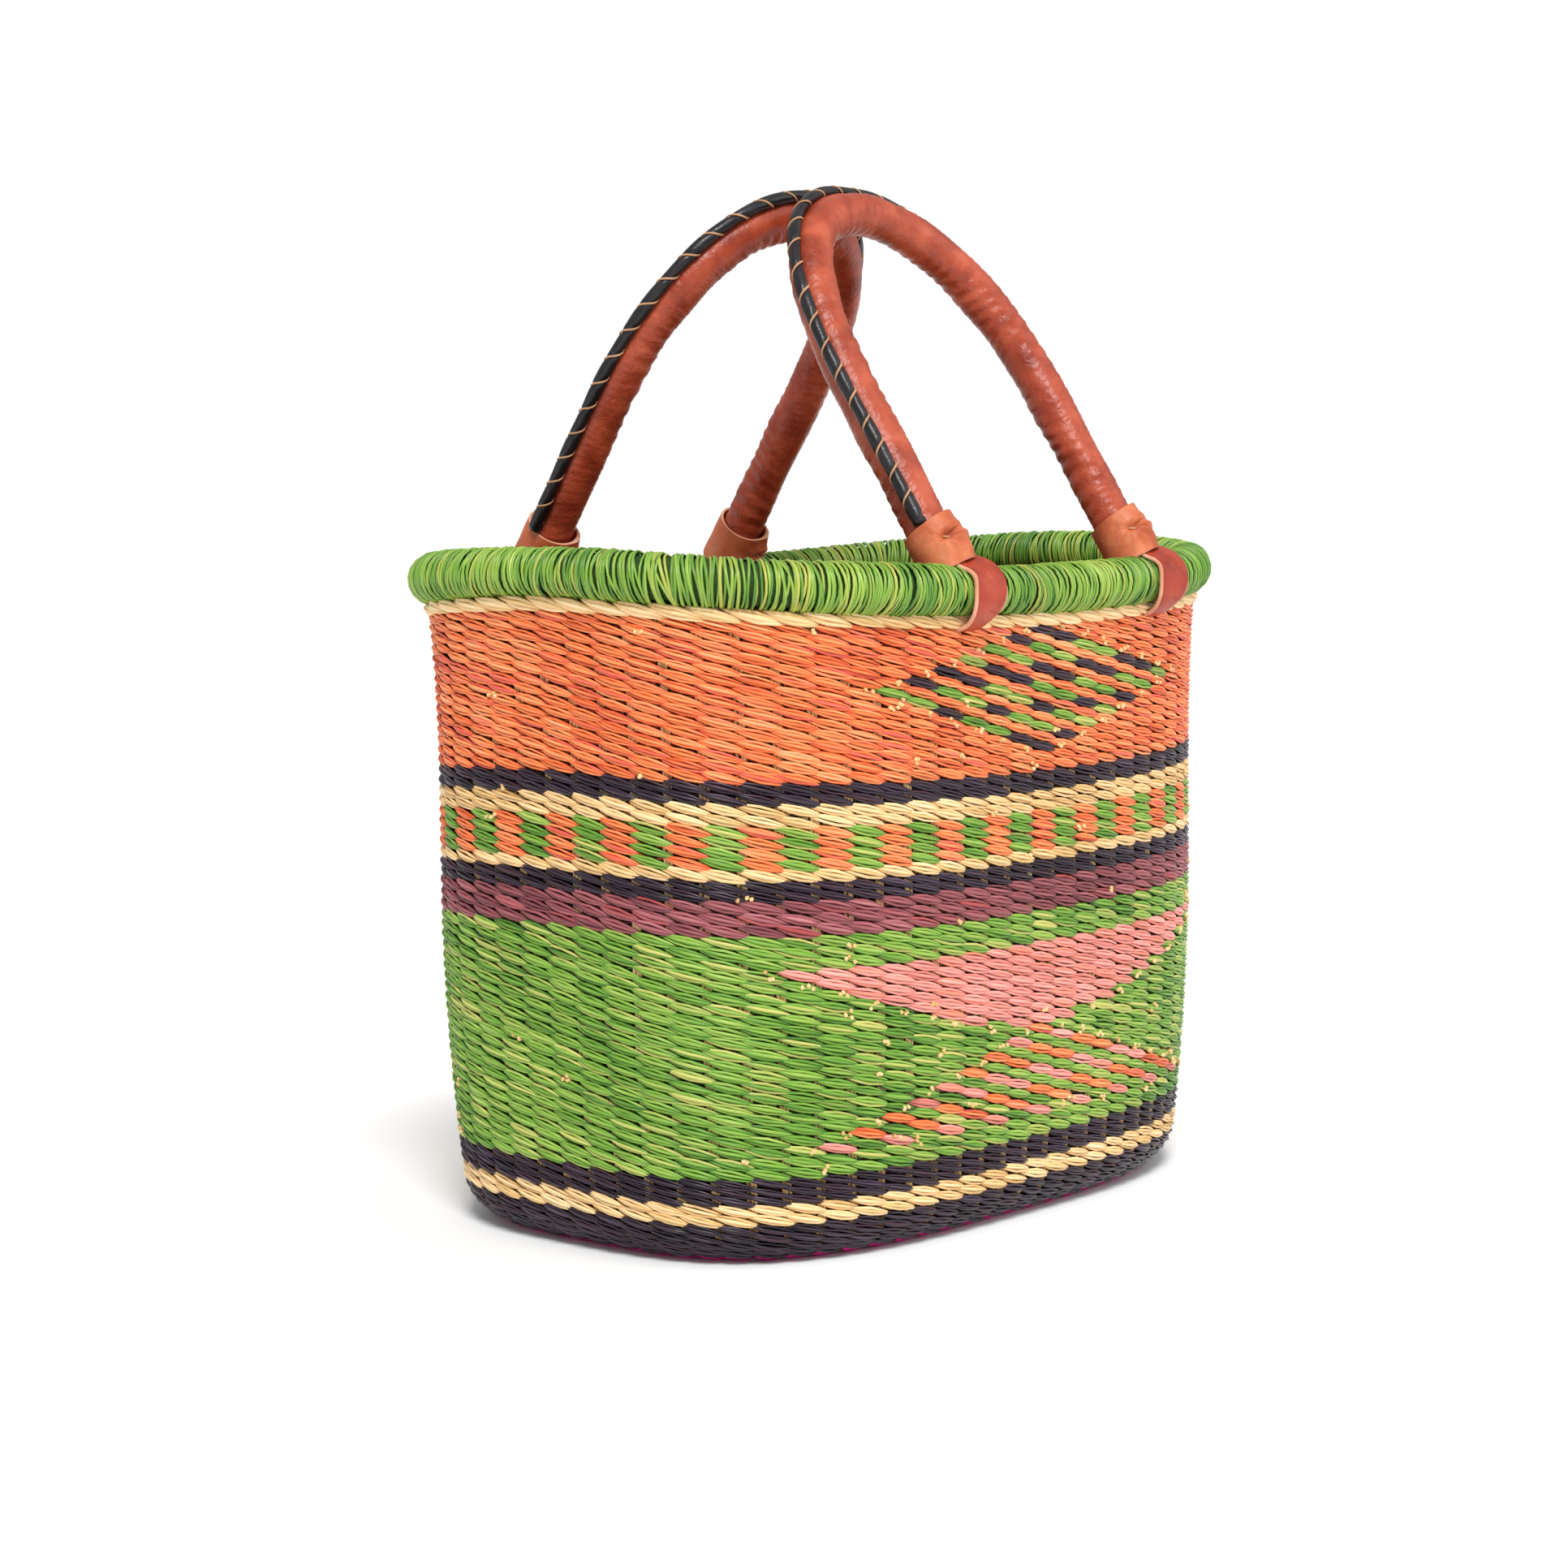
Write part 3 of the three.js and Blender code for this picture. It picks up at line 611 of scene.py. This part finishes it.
# %% Concentric rows, under and over
BASE_ROW, DISC_SIDES = 4.6, 96
base_long = HALF_LENGTH - TAPER_LENGTH - FOOT_RADIUS + 3
base_wide = HALF_WIDTH - TAPER_WIDTH - FOOT_RADIUS + 3
base_rows = int(base_wide / BASE_ROW)
base_tubes = []
for row in range(base_rows):
    a = base_long - (row + 0.5) * BASE_ROW
    b = base_wide - (row + 0.5) * BASE_ROW
    power = 2 + (PLAN_POWER - 2) * (b / base_wide) ** 0.5
    oval = superellipse(a, b, power, 2401)

    def floor_row(run, climb, depth):
        x, y, nx, ny = around(run, oval, (a, b, power))
        return np.stack([x + climb * nx, y + climb * ny, depth + 0 * x], -1)

    count = max(6, round(oval[2][-1] / PITCH))
    pitch = oval[2][-1] / count
    place = np.arange(count) * pitch
    for lie, dive, slope in ((0.75, 1.5, 1.3), (4.3, -1.5, -1.3)):
        base_tubes.append(twine(floor_row, place + (lie > 2) * 0.5 * pitch, np.zeros(count),
                                BASE_ROW, row % 9 == 4, per=2, steps=6, sides=5,
                                length=1.6 * pitch, slope=slope, lie=lie, dive=dive, plump=0.95))
# A dark sheet between the two faces of rows closes the gaps; its dark brown is painted shade.
a, b = base_long - 1, base_wide - 1
disc_x, disc_y, _ = superellipse(a, b, PLAN_POWER, DISC_SIDES + 1)
disc = np.stack([disc_x[:-1], disc_y[:-1]], -1)
low = np.concatenate([disc, np.full((DISC_SIDES, 1), 2.2)], 1)
high = np.concatenate([disc, np.full((DISC_SIDES, 1), 2.8)], 1)
index = np.arange(2 * DISC_SIDES).reshape(2, DISC_SIDES)
middle = skin(np.concatenate([low, high]),
              [round_quads(index[:1], index[1:]), index[:1, ::-1], index[1:]],
              [np.full(DISC_SIDES, 2), np.array([2]), np.array([2])], tone=0.3)
make_piece("base_rows", base_tubes + [middle], [green_dyed, undyed, painted_shade_straw], "basket",
           ["base_weave"])

# %% [markdown]
# ## The rim
# The rim is a hoop of straw bundles, bound tight with flat split straw from the inside of the
# wall, over the top and down to the undyed row. The wrapping lies in short Vs, because each turn
# is pulled a little to one side of the last. A torus with a striped bump would have a smooth
# outline, so every turn is a real strand with its own lean. Its flanks are painted darker than its
# back, a painted shade of the creases between turns: the tone falls off round the ring of sides,
# which starts at the back of a strand. The hoop is dark green, painted shade where it shows
# between the turns.

# %% Turns of split straw over a hoop
RIM_RADIUS, RIM_INSET, HOOP_RADIUS = 11, 2.5, 9.2
TURNS, HOOP_STEPS = 800, 300


def rim(run, turn, radius):
    """Round the basket, round the rim's own section from its top outwards, out from its middle."""
    x, y, nx, ny = around(run, plan, PLAN_SHAPE)
    inset = RIM_INSET - radius * np.sin(turn)
    low = raised(x, y, nx, ny, inset, np.full(np.shape(inset), float(WEAVE_TOP)))
    low[..., 2] += RIM_RADIUS + radius * np.cos(turn)
    return low


turn = np.radians(np.linspace(-168, 168, 17))[None, :]
start = (np.arange(TURNS) * GIRTH / TURNS)[:, None] + rng.normal(0, 0.3, (TURNS, 1))
lean = 1.3 * np.sin(start / 29) + 0.8 * np.sin(start / 11 + 2) + rng.normal(0, 0.85, (TURNS, 1))
wander = 0.4 * np.sin(2.2 * turn + rng.uniform(0, 6.3, (TURNS, 1)))
over = 0.15 + rng.uniform(-0.45, 0.45, (TURNS, 1))
swell = 0.35 * np.sin(start / 47) + 0.25 * np.sin(start / 19 + 1)
radius = RIM_RADIUS - 0.6 + over + swell + 0 * turn
run = start + lean * np.cos(turn) + 0.7 * np.sin(turn) + wander
batch = 0.5 + 0.5 * np.sin(start[:, 0] / 17) * np.sin(start[:, 0] / 41 + 0.6)
flank = (0.5 - 0.5 * np.cos(2 * np.pi * np.arange(6) / 6))[None, None, :]
# Painted shade: each turn's tone falls off round its flanks, for the creases between turns.
tone = (0.12 + 0.5 * rng.random(TURNS) + 0.5 * batch)[:, None, None] - 0.9 * flank
wrap = sweep(rim(run, turn, radius), rim(run, turn, radius + 1) - rim(run, turn, radius),
             rng.uniform(0.58, 0.86, (TURNS, 1)), 0.6, 6, tone, rng.random(TURNS),
             twist=rng.normal(0, 0.16, (TURNS, 1)))
make_piece("rim_wrapping", [wrap], [rim_dyed], "basket", ["rim_wrap"])

# The hoop's dark green is painted shade, where it shows between the turns.
circle = (np.arange(HOOP_STEPS) * GIRTH / HOOP_STEPS)[None, :]
middle = rim(circle, np.zeros((1, HOOP_STEPS)), 0.0)
hoop = sweep(middle, np.broadcast_to([0.0, 0.0, 1.0], middle.shape), HOOP_RADIUS, HOOP_RADIUS,
             14, 0.15, 0.1, ring=True)
make_piece("rim_hoop_bundle", [hoop], [painted_shade_green], "basket", ["rim_hoop"])

# %% [markdown]
# ## Leather
# The handles are covered in vegetable-tanned goat leather: thin, reddish brown, matt to satin,
# with a fine pebbled grain and stretch wrinkles where it is pulled round the bend. The cuffs
# are a lighter tan, left undyed, and their cut edges show the pale fibrous middle of the
# hide. Colour mottling and pebbling are noise in real millimetres over the object.

# %% Leather materials
PEBBLE = 0.9  # mm, goat grain is about 0.3; drawn coarser so that it shows
PEBBLE_RELIEF = 0.12  # mm
MOTTLE = 14  # mm, uneven dye and handling marks
CREASE = 4  # mm, stretch wrinkles


def goat_leather(name, shades, roughness, wrinkle=0.0):
    material, tree, surface = new_material(name, {
        "Roughness": roughness, "IOR": 1.5, "Specular IOR Level": 0.4})
    place = add_node(tree, "ShaderNodeTexCoord")
    mottle = add_node(tree, "ShaderNodeTexNoise", {"Scale": 1 / (MOTTLE * MM), "Detail": 5.0},
                      {"Vector": place.outputs["Object"]})
    ramp = add_node(tree, "ShaderNodeValToRGB", {}, {"Fac": mottle.outputs["Fac"]})
    ramp.color_ramp.elements.new(0.5)
    for element, at, shade in zip(ramp.color_ramp.elements, (0.3, 0.5, 0.72), shades):
        element.position, element.color = at, linear(shade)
    tree.links.new(ramp.outputs["Color"], surface.inputs["Base Color"])
    grain = add_node(tree, "ShaderNodeTexVoronoi", {"Scale": 1 / (PEBBLE * MM)},
                     {"Vector": place.outputs["Object"]})
    relief = add_node(tree, "ShaderNodeBump", {"Strength": 0.5, "Distance": PEBBLE_RELIEF * MM},
                      {"Height": grain.outputs["Distance"]})
    last = relief
    if wrinkle:
        creases = add_node(tree, "ShaderNodeTexNoise",
                           {"Scale": 1 / (CREASE * MM), "Detail": 4.0, "Distortion": 0.8},
                           {"Vector": place.outputs["Object"]})
        last = add_node(tree, "ShaderNodeBump", {"Strength": 0.7, "Distance": wrinkle * MM},
                        {"Height": creases.outputs["Fac"], "Normal": relief.outputs["Normal"]})
    tree.links.new(last.outputs["Normal"], surface.inputs["Normal"])
    return material


cover_leather = goat_leather("vegetable-tanned goat leather, red-brown",
                             ["#8a321c", "#a8452a", "#c25b3c"], 0.36, wrinkle=0.8)
cuff_leather = goat_leather("undyed vegetable-tanned goat leather",
                            ["#a84d29", "#c5653d", "#d77e54"], 0.5, wrinkle=0.35)
strap_leather = goat_leather("vegetable-tanned goat leather, strap",
                             ["#8e2b18", "#a83c24", "#bb4f34"], 0.42, wrinkle=0.3)
cut_edge = goat_leather("cut edge of tanned hide", ["#c98a66", "#dda283", "#edc0a2"], 0.85)
piping_leather = goat_leather("black-dyed goat leather piping",
                              ["#141214", "#1e1b1e", "#2c282c"], 0.34)
thong_leather = goat_leather("thin tan thong", ["#a87a55", "#bf9069", "#d0a57e"], 0.6)

# %% [markdown]
# ## Where the handles turn
# Each handle hangs in two strap loops round the rim, so it turns about the line through them.
# The shared frame gives that line for each joint, and the handle is drawn flat in its own
# plane: across the hand, and up from the hinge. A small function stands it in place. The two
# are not twins: each leans, sways and is knotted its own way (angles in degrees).

# %% The handles' own planes
HANDLES = {
    "front_handle": {"facing": -1, "half_span": 70.5, "sway": -7, "drift": -26, "knot": -124},
    "back_handle": {"facing": 1, "half_span": 67.5, "sway": 9, "drift": 26, "knot": -70},
}
REACH, CROWN, CROWN_POWER, TOP_SPACING = 201, 99, 2.2, 30
COVER_START, CORE_START, PIPING_START, SWAY_START = 18.2, 38.9, 33.2, 47.2
LEG_SHARE = 0.2  # of the steps along the arch go to each straight leg
joints = {joint["child"]: joint for joint in frame["joints"]}
for body, handle in HANDLES.items():
    joint = joints[body]
    across = Vector(joint["axis"]) * (-handle["facing"])
    up = (Vector((0, 0, 1)) - across * across.z).normalized()
    level = up.cross(across)
    origin = Vector(joint["pos_m"]) / MM
    angle = handle["facing"] * math.asin((abs(origin.y) - TOP_SPACING / 2) / REACH)
    handle["across"] = np.array(across)
    handle["face"] = np.array(level * math.cos(angle) + up * math.sin(angle))
    handle["up"] = np.array(up * math.cos(angle) - level * math.sin(angle))
    handle["origin"] = np.array(origin)
    print(body, "leans", round(math.degrees(angle), 1), "degrees")


def stand(handle, x, y, z):
    """From a handle's own plane into the basket's frame."""
    x, y, z = (np.asarray(v, float)[..., None] for v in (x, y, z))
    return handle["origin"] + x * handle["across"] + y * handle["face"] + z * handle["up"]


def arch(handle, start, count):
    """Evenly spaced points along the handle in its plane, their outward way and their distance."""
    t = np.linspace(0, 1, 4001)
    spring = REACH - CROWN
    x = handle["half_span"] * np.sign(t - 0.5)
    z = start + (spring - start) * np.minimum(t, 1 - t) / LEG_SHARE
    crown = (t > LEG_SHARE) & (t < 1 - LEG_SHARE)
    angle = np.pi * (t[crown] - LEG_SHARE) / (1 - 2 * LEG_SHARE)
    c = -np.cos(angle)
    x[crown] = handle["half_span"] * np.sign(c) * np.abs(c) ** (2 / CROWN_POWER)
    z[crown] = spring + CROWN * np.sin(angle) ** (2 / CROWN_POWER)
    swayed = np.maximum(0, (z - SWAY_START) / (REACH - SWAY_START))
    x = x + handle["sway"] * swayed ** 2
    run = np.concatenate([[0], np.cumsum(np.hypot(np.diff(x), np.diff(z)))])
    even = np.linspace(0, run[-1], count)
    x, z = np.interp(even, run, x), np.interp(even, run, z)
    dx, dz = np.gradient(x), np.gradient(z)
    size = np.hypot(dx, dz)
    ox, oz = -dz / size, dx / size
    smooth = np.ones(5) / 5
    ox[2:-2] = np.convolve(ox, smooth, "valid")
    oz[2:-2] = np.convolve(oz, smooth, "valid")
    return x, z, ox, oz, even


# %% [markdown]
# ## The leather-covered arch
# A bundle of straw is bent into an arch and the leather sewn round it, wet, so that it shrinks
# on. It keeps shallow, uneven ridges that spiral round, deeper on the inside of the bend. The
# tube is swept as a grid of points whose radius carries the ridges, so they show in the outline.

# %% A grid of points round a line, closed at both ends
def sleeve(points):
    """A closed skin through (steps, sides, 3) points."""
    index = np.arange(points[..., 0].size).reshape(points.shape[:2])
    faces = [round_quads(index[:-1], index[1:]), index[:1, ::-1], index[-1:]]
    return skin(points, faces, [np.zeros(len(face), int) for face in faces])


COVER_RADIUS, COVER_STEPS, COVER_SIDES = 9.8, 420, 40
RIDGE_SPACING, FINE_SPACING = 7.2, 3.1  # mm between ridges along the arch
for body, handle in HANDLES.items():
    x, z, ox, oz, run = arch(handle, COVER_START, COVER_STEPS)
    theta = (2 * np.pi * np.arange(COVER_SIDES) / COVER_SIDES)[None, :]
    s = run[:, None]
    inner_side = 0.5 - 0.5 * np.cos(theta)
    phase = 3.4 * np.sin(s / 33 + handle["facing"]) + 2.0 * np.sin(s / 13.3 + theta)
    phase = phase + np.sin(s / 6.1)
    depth = 0.55 + 0.45 * np.sin(s / 17 + 1.1 * theta)
    ridge = np.sin(2 * np.pi * s / RIDGE_SPACING + 1.2 * theta + phase)
    fine = np.sin(2 * np.pi * s / FINE_SPACING - 2 * theta + 2 * phase)
    lump = np.sin(s / 9.5 + 2 * np.sin(theta + s / 40)) * np.sin(s / 23 + theta)
    radius = COVER_RADIUS + (0.14 + 0.24 * inner_side) * ridge * depth + 0.1 * fine + 0.45 * lump
    out, flat_way = radius * np.cos(theta), radius * np.sin(theta)
    points = stand(handle, x[:, None] + out * ox[:, None], -flat_way,
                   z[:, None] + out * oz[:, None])
    make_piece(f"{body}_leather_cover", [sleeve(points)], [cover_leather], body,
               [f"{body}_cover"])
    x, z = arch(handle, CORE_START, 60)[:2]
    line = stand(handle, x, 0 * x, z)[None]
    core = sweep(line, np.broadcast_to(handle["face"], line.shape), 5.5, 5.5, 10, 0.5, 0.2)
    make_piece(f"{body}_straw_core", [core], [undyed], body, [f"{body}_core"])

# %% [markdown]
# ## Piping and thong
# A black leather piping covers the seam along the back of the arch, and a thin thong winds round
# it and through both edges of the cover, pinching it a little at each turn. The thong is a
# flat strand on a helix round the piping, and the piping's radius dips where it crosses.
# Towards one foot of each handle the piping drifts a little way round the cover, so that it
# comes down beside the cuff's slit.

# %% Black piping with its winding thong
PIPING_RADIUS, PIPING_SEAT, THONG_PITCH = 2.75, 12.2, 14
for body, handle in HANDLES.items():
    x, z, ox, oz, run = arch(handle, PIPING_START, 360)
    foot = handle["facing"] * (run - run[-1] / 2)
    drift = math.radians(handle["drift"]) * np.clip(2 * foot / run[-1], 0, 1) ** 0.7
    off, aside = np.cos(drift), np.sin(drift)
    length = run * (1 + PIPING_SEAT / handle["half_span"] * 0.5)

    def beside(way, flat_way):
        """A point of the piping's own section, out from the cover and along its flat."""
        reach = PIPING_SEAT + way
        level = reach * off[:, None] - flat_way * aside[:, None]
        face = reach * aside[:, None] + flat_way * off[:, None]
        return stand(handle, x[:, None] + level * ox[:, None], face,
                     z[:, None] + level * oz[:, None])

    theta = (2 * np.pi * np.arange(14) / 14)[None, :]
    winding = (2 * np.pi * length / THONG_PITCH)[:, None]
    pinch = np.exp(-((np.mod(winding - theta + np.pi, 2 * np.pi) - np.pi) / 0.5) ** 2)
    radius = PIPING_RADIUS + 0.2 * np.sin(length / 6.1)[:, None] - 0.7 * pinch
    points = beside(radius * np.cos(theta), -radius * np.sin(theta) * 1.1)
    make_piece(f"{body}_black_piping", [sleeve(points)], [piping_leather], body,
               [f"{body}_piping"])
    out, flat_way = 2.6 * np.cos(winding), 3.05 * np.sin(winding)
    line = beside(out, -flat_way)[4:-4, 0][None]
    middle = beside(0 * out, 0 * out)[4:-4, 0][None]
    thong = sweep(line, unit(line - middle), 0.55, 0.35, 6, 0.5, 0.3)
    make_piece(f"{body}_wound_thong", [thong], [thong_leather], body, [f"{body}_lacing"])

# %% [markdown]
# ## Cuffs
# A patch of tan leather is wrapped round each foot of the handle, folded over itself and
# knotted through a slit, so wrinkles fan out from the knot, most of them to one side. Its edges
# are cut by hand and slope. It could be draped cloth, but the folds are few and known: the radius
# of a sleeve is raised beside the knot, sunk at the slit and rippled where the wrinkles run.

# %% Wrapped cuffs with a knot
CUFF_RADIUS, CUFF_FOOT, CUFF_TOP, KNOT_HEIGHT = 11.6, 11.6, 34.5, 23.5
CUFF_SIDES, CUFF_STEPS = 96, 56
for body, handle in HANDLES.items():
    for side, label in ((-1, "left"), (1, "right")):
        theta = (2 * np.pi * np.arange(CUFF_SIDES) / CUFF_SIDES)[None, :]
        knot_at = math.radians(handle["knot"])
        share = np.linspace(0, 1, CUFF_STEPS)[:, None]
        low = CUFF_FOOT + 2.4 * np.cos(theta - knot_at - 2.4)
        high = CUFF_TOP + 2.6 * np.cos(theta - knot_at - 1.9)
        z = low + (high - low) * share
        away = np.mod(theta - knot_at + np.pi, 2 * np.pi) - np.pi
        da, dz = away * CUFF_RADIUS, z - KNOT_HEIGHT
        far = np.hypot(da, dz)
        way = np.arctan2(dz, da)
        one_sided = 0.08 + 0.92 * np.maximum(0, np.cos(way + 0.35)) ** 0.8
        spokes = np.cos(11 * way + 0.5) * np.exp(-(far / 11) ** 2) * one_sided
        bulge = 3.4 * np.exp(-(np.hypot(da - 5.5, dz + 1) / 8.5) ** 2)
        slit = np.exp(-(dz / 1.8) ** 2 - ((da - 1.5) / 3.6) ** 2)
        radius = CUFF_RADIUS + 0.6 + bulge - 3.6 * slit
        radius = radius + 1.3 * spokes * (1 - np.exp(-(far / 2.2) ** 2))
        radius = radius + 0.55 * np.cos(2 * (theta - knot_at) + 0.6)
        overlap = 0.9 / (1 + np.exp(-(da - 3 + 0.35 * dz) * 1.6)) * (away < 2.6)
        radius = radius + overlap * 0.7 + 0.5 * (1 - share) + 0.1 * np.sin(z / 2.1 + 3 * theta)
        x0 = side * handle["half_span"]

        def ring(r):
            return stand(handle, x0 + r * np.cos(theta), r * np.sin(theta), z)

        outer, inner = ring(radius), ring(np.minimum(radius - 1.3, CUFF_RADIUS))
        grid = np.concatenate([outer, inner[::-1]])
        index = np.arange(grid[..., 0].size).reshape(grid.shape[:2])
        inks = np.zeros(index.shape, int)
        inks[CUFF_STEPS - 1], inks[-1] = 1, 1  # the two cut edges
        patch = skin(grid, [round_quads(index, np.roll(index, -1, 0))], [inks.ravel()])
        tie_share = np.linspace(0, 1, 16)
        tie_turn = knot_at + np.linspace(-0.05, 2.2, 16)
        tie_z = KNOT_HEIGHT - 7.5 * tie_share ** 0.8
        tie_r = CUFF_RADIUS + 1.5 - 0.3 * tie_share
        tie = stand(handle, x0 + tie_r * np.cos(tie_turn), tie_r * np.sin(tie_turn), tie_z)[None]
        hub = stand(handle, x0 + 0 * tie_turn, 0 * tie_turn, tie_z)[None]
        string = sweep(tie, unit(tie - hub), 0.55, 0.4, 6, 0.5, 0.2, finish=2)
        make_piece(f"{body}_cuff_{label}_wrapped", [patch, string],
                   [cuff_leather, cut_edge, thong_leather], body, [f"{body}_cuff_{label}"])

# %% [markdown]
# ## Strap loops
# A doubled strap comes out from under each cuff, goes round the rim, in through the weave below
# the undyed row and back up to the cuff. It lies a little askew over the rim. The loop is round
# about the hinge line, so it can slide on the rim as the handle swings, and its two layers are two
# bands swept along the same path, the outer one narrower and set to one side.

# %% Two-layer straps round the rim
LOOP_RADIUS, STRAP_SIDES, STRAP_EDGES = 14.4, 14, [2, 3, 4, 9, 10, 11]
for body, handle in HANDLES.items():
    for side, label in ((-1, "left"), (1, "right")):
        x0 = side * handle["half_span"]
        turn = np.radians(np.linspace(48, 312, 60))
        y = LOOP_RADIUS * np.sin(turn)
        z = LOOP_RADIUS * np.cos(turn)
        ease = np.linspace(0, 1, 9)[:-1]
        leg_y = np.concatenate([1.5 + 0 * ease[:4], 1.5 + (y[0] - 1.5) * (ease ** 1.6)])
        leg_z = np.concatenate([np.linspace(40, 30, 4), 27 + (z[0] - 27) * ease])
        y = np.concatenate([leg_y, y, -leg_y[::-1]])
        z = np.concatenate([leg_z, z, leg_z[::-1]])
        outer_way = handle["facing"]
        outer_share = np.clip(y * outer_way / LOOP_RADIUS, 0, 1)
        shift = 3.6 * outer_share ** 1.5 - 2.6 * outer_share * np.clip(-z / LOOP_RADIUS, 0, 1)
        wide = 7.0 + 3.2 * outer_share - 0.5 * np.clip(-z / LOOP_RADIUS, 0, 1)
        line = stand(handle, x0 + shift, y, z)[None]
        centre = stand(handle, x0 + shift, 0 * y, np.clip(z, -8, 14))[None]
        strap = sweep(line, unit(line - centre), wide[None], 1.25, STRAP_SIDES, 0.5, 0.2,
                      square=0.55)
        ink = np.zeros((len(y) - 1, STRAP_SIDES), int)
        ink[:, STRAP_EDGES] = 1
        strap["inks"][0] = ink.ravel()
        outer = (y * outer_way > 3) & (z > -13) & (z < 20)
        shrink = wide[outer] * 0.55
        lift = unit(line - centre)[:, outer] * 0.95
        aside = (wide[outer] - shrink)[None, :, None] * 0.9
        second = line[:, outer] + lift + handle["across"] * aside
        layer = sweep(second, unit(lift), shrink[None], 0.85, 12, 0.5, 0.2, square=0.6)
        make_piece(f"{body}_strap_{label}_loop", [strap, layer], [strap_leather, cut_edge], body,
                   [f"{body}_strap_{label}"])
print("triangles in all:", sum(triangles_made.values()))

# %% [markdown]
# ## Studio
# Straw is judged by its colour, so the light is broad and neutral: a bright pale room, one large
# soft lamp high on the left and a weaker one on the right, over white paper. The camera sees the
# room as pure white, but it lights the basket at half that, which keeps the shade between straws.

# %% Floor, light and colour handling
paper = new_material("matt white studio paper",
                     {"Base Color": linear("#ffffff"), "Roughness": 0.9})[0]
floor_mesh = bpy.data.meshes.new("studio_floor")
FLOOR, FLOOR_HEIGHT = 12, -0.6 * MM
corners = [(x * FLOOR, y * FLOOR, FLOOR_HEIGHT) for x, y in ((-1, -1), (1, -1), (1, 1), (-1, 1))]
floor_mesh.from_pydata(corners, [], [(0, 1, 2, 3)])
floor_mesh.materials.append(paper)
floor = new_object("studio_floor", floor_mesh)

world = bpy.data.worlds.new("pale studio")
world.use_nodes = True
room = world.node_tree
room.nodes.clear()
glow = add_node(room, "ShaderNodeBackground", {"Color": linear("#ffffff"), "Strength": 0.5})
plain = add_node(room, "ShaderNodeBackground", {"Color": linear("#ffffff"), "Strength": 1.0})
seen = add_node(room, "ShaderNodeLightPath")
pick = add_node(room, "ShaderNodeMixShader", {}, {0: seen.outputs["Is Camera Ray"],
                                                  1: glow.outputs[0], 2: plain.outputs[0]})
add_node(room, "ShaderNodeOutputWorld", {}, {"Surface": pick.outputs[0]})
bpy.context.scene.world = world
bpy.context.scene.view_settings.view_transform = "Standard"


def soft_lamp(name, towards, spread, strength):
    """A far, broad lamp: its light is even over the floor, and spread (degrees) softens shadows."""
    lamp = bpy.data.lights.new(name, "SUN")
    lamp.angle = math.radians(spread)
    lamp.energy = strength
    holder = new_object(name, lamp)
    holder.location = towards
    holder.rotation_euler = (-Vector(towards)).to_track_quat("-Z", "Y").to_euler()


soft_lamp("large soft lamp, left", (-1.3, -1.35, 2.3), 20, 2.55)
soft_lamp("large soft lamp, right", (1.2, -1.9, 1.2), 50, 0.75)

# %% [markdown]
# ## Camera
# A long lens from a little above the rim, turned about 49 degrees to the basket's left, with a
# trace of roll. The numbers place the camera on a ball round the basket's axis.

# %% The camera
AZIMUTH, ELEVATION, ROLL = -0.852, 0.0895, -0.0115
DISTANCE, ASIDE, AIM_HEIGHT, LENS = 1533.36, -20.44, 188.87, 75.26
back = Vector((math.sin(AZIMUTH) * math.cos(ELEVATION),
               -math.cos(AZIMUTH) * math.cos(ELEVATION), math.sin(ELEVATION)))
right = Vector((math.cos(AZIMUTH), math.sin(AZIMUTH), 0))
up = back.cross(right)
rolled_right = right * math.cos(ROLL) + up * math.sin(ROLL)
rolled_up = up * math.cos(ROLL) - right * math.sin(ROLL)
camera_data = bpy.data.cameras.new("camera")
camera_data.sensor_width = 36
camera_data.lens = LENS
camera = new_object("camera", camera_data)
spot = (rolled_right * ASIDE + Vector((0, 0, AIM_HEIGHT)) + back * DISTANCE) * MM
turned = Matrix((rolled_right, rolled_up, back)).transposed().to_4x4()
camera.matrix_world = Matrix.Translation(spot) @ turned
bpy.context.scene.camera = camera
print("camera at, mm:", [round(c / MM) for c in spot])
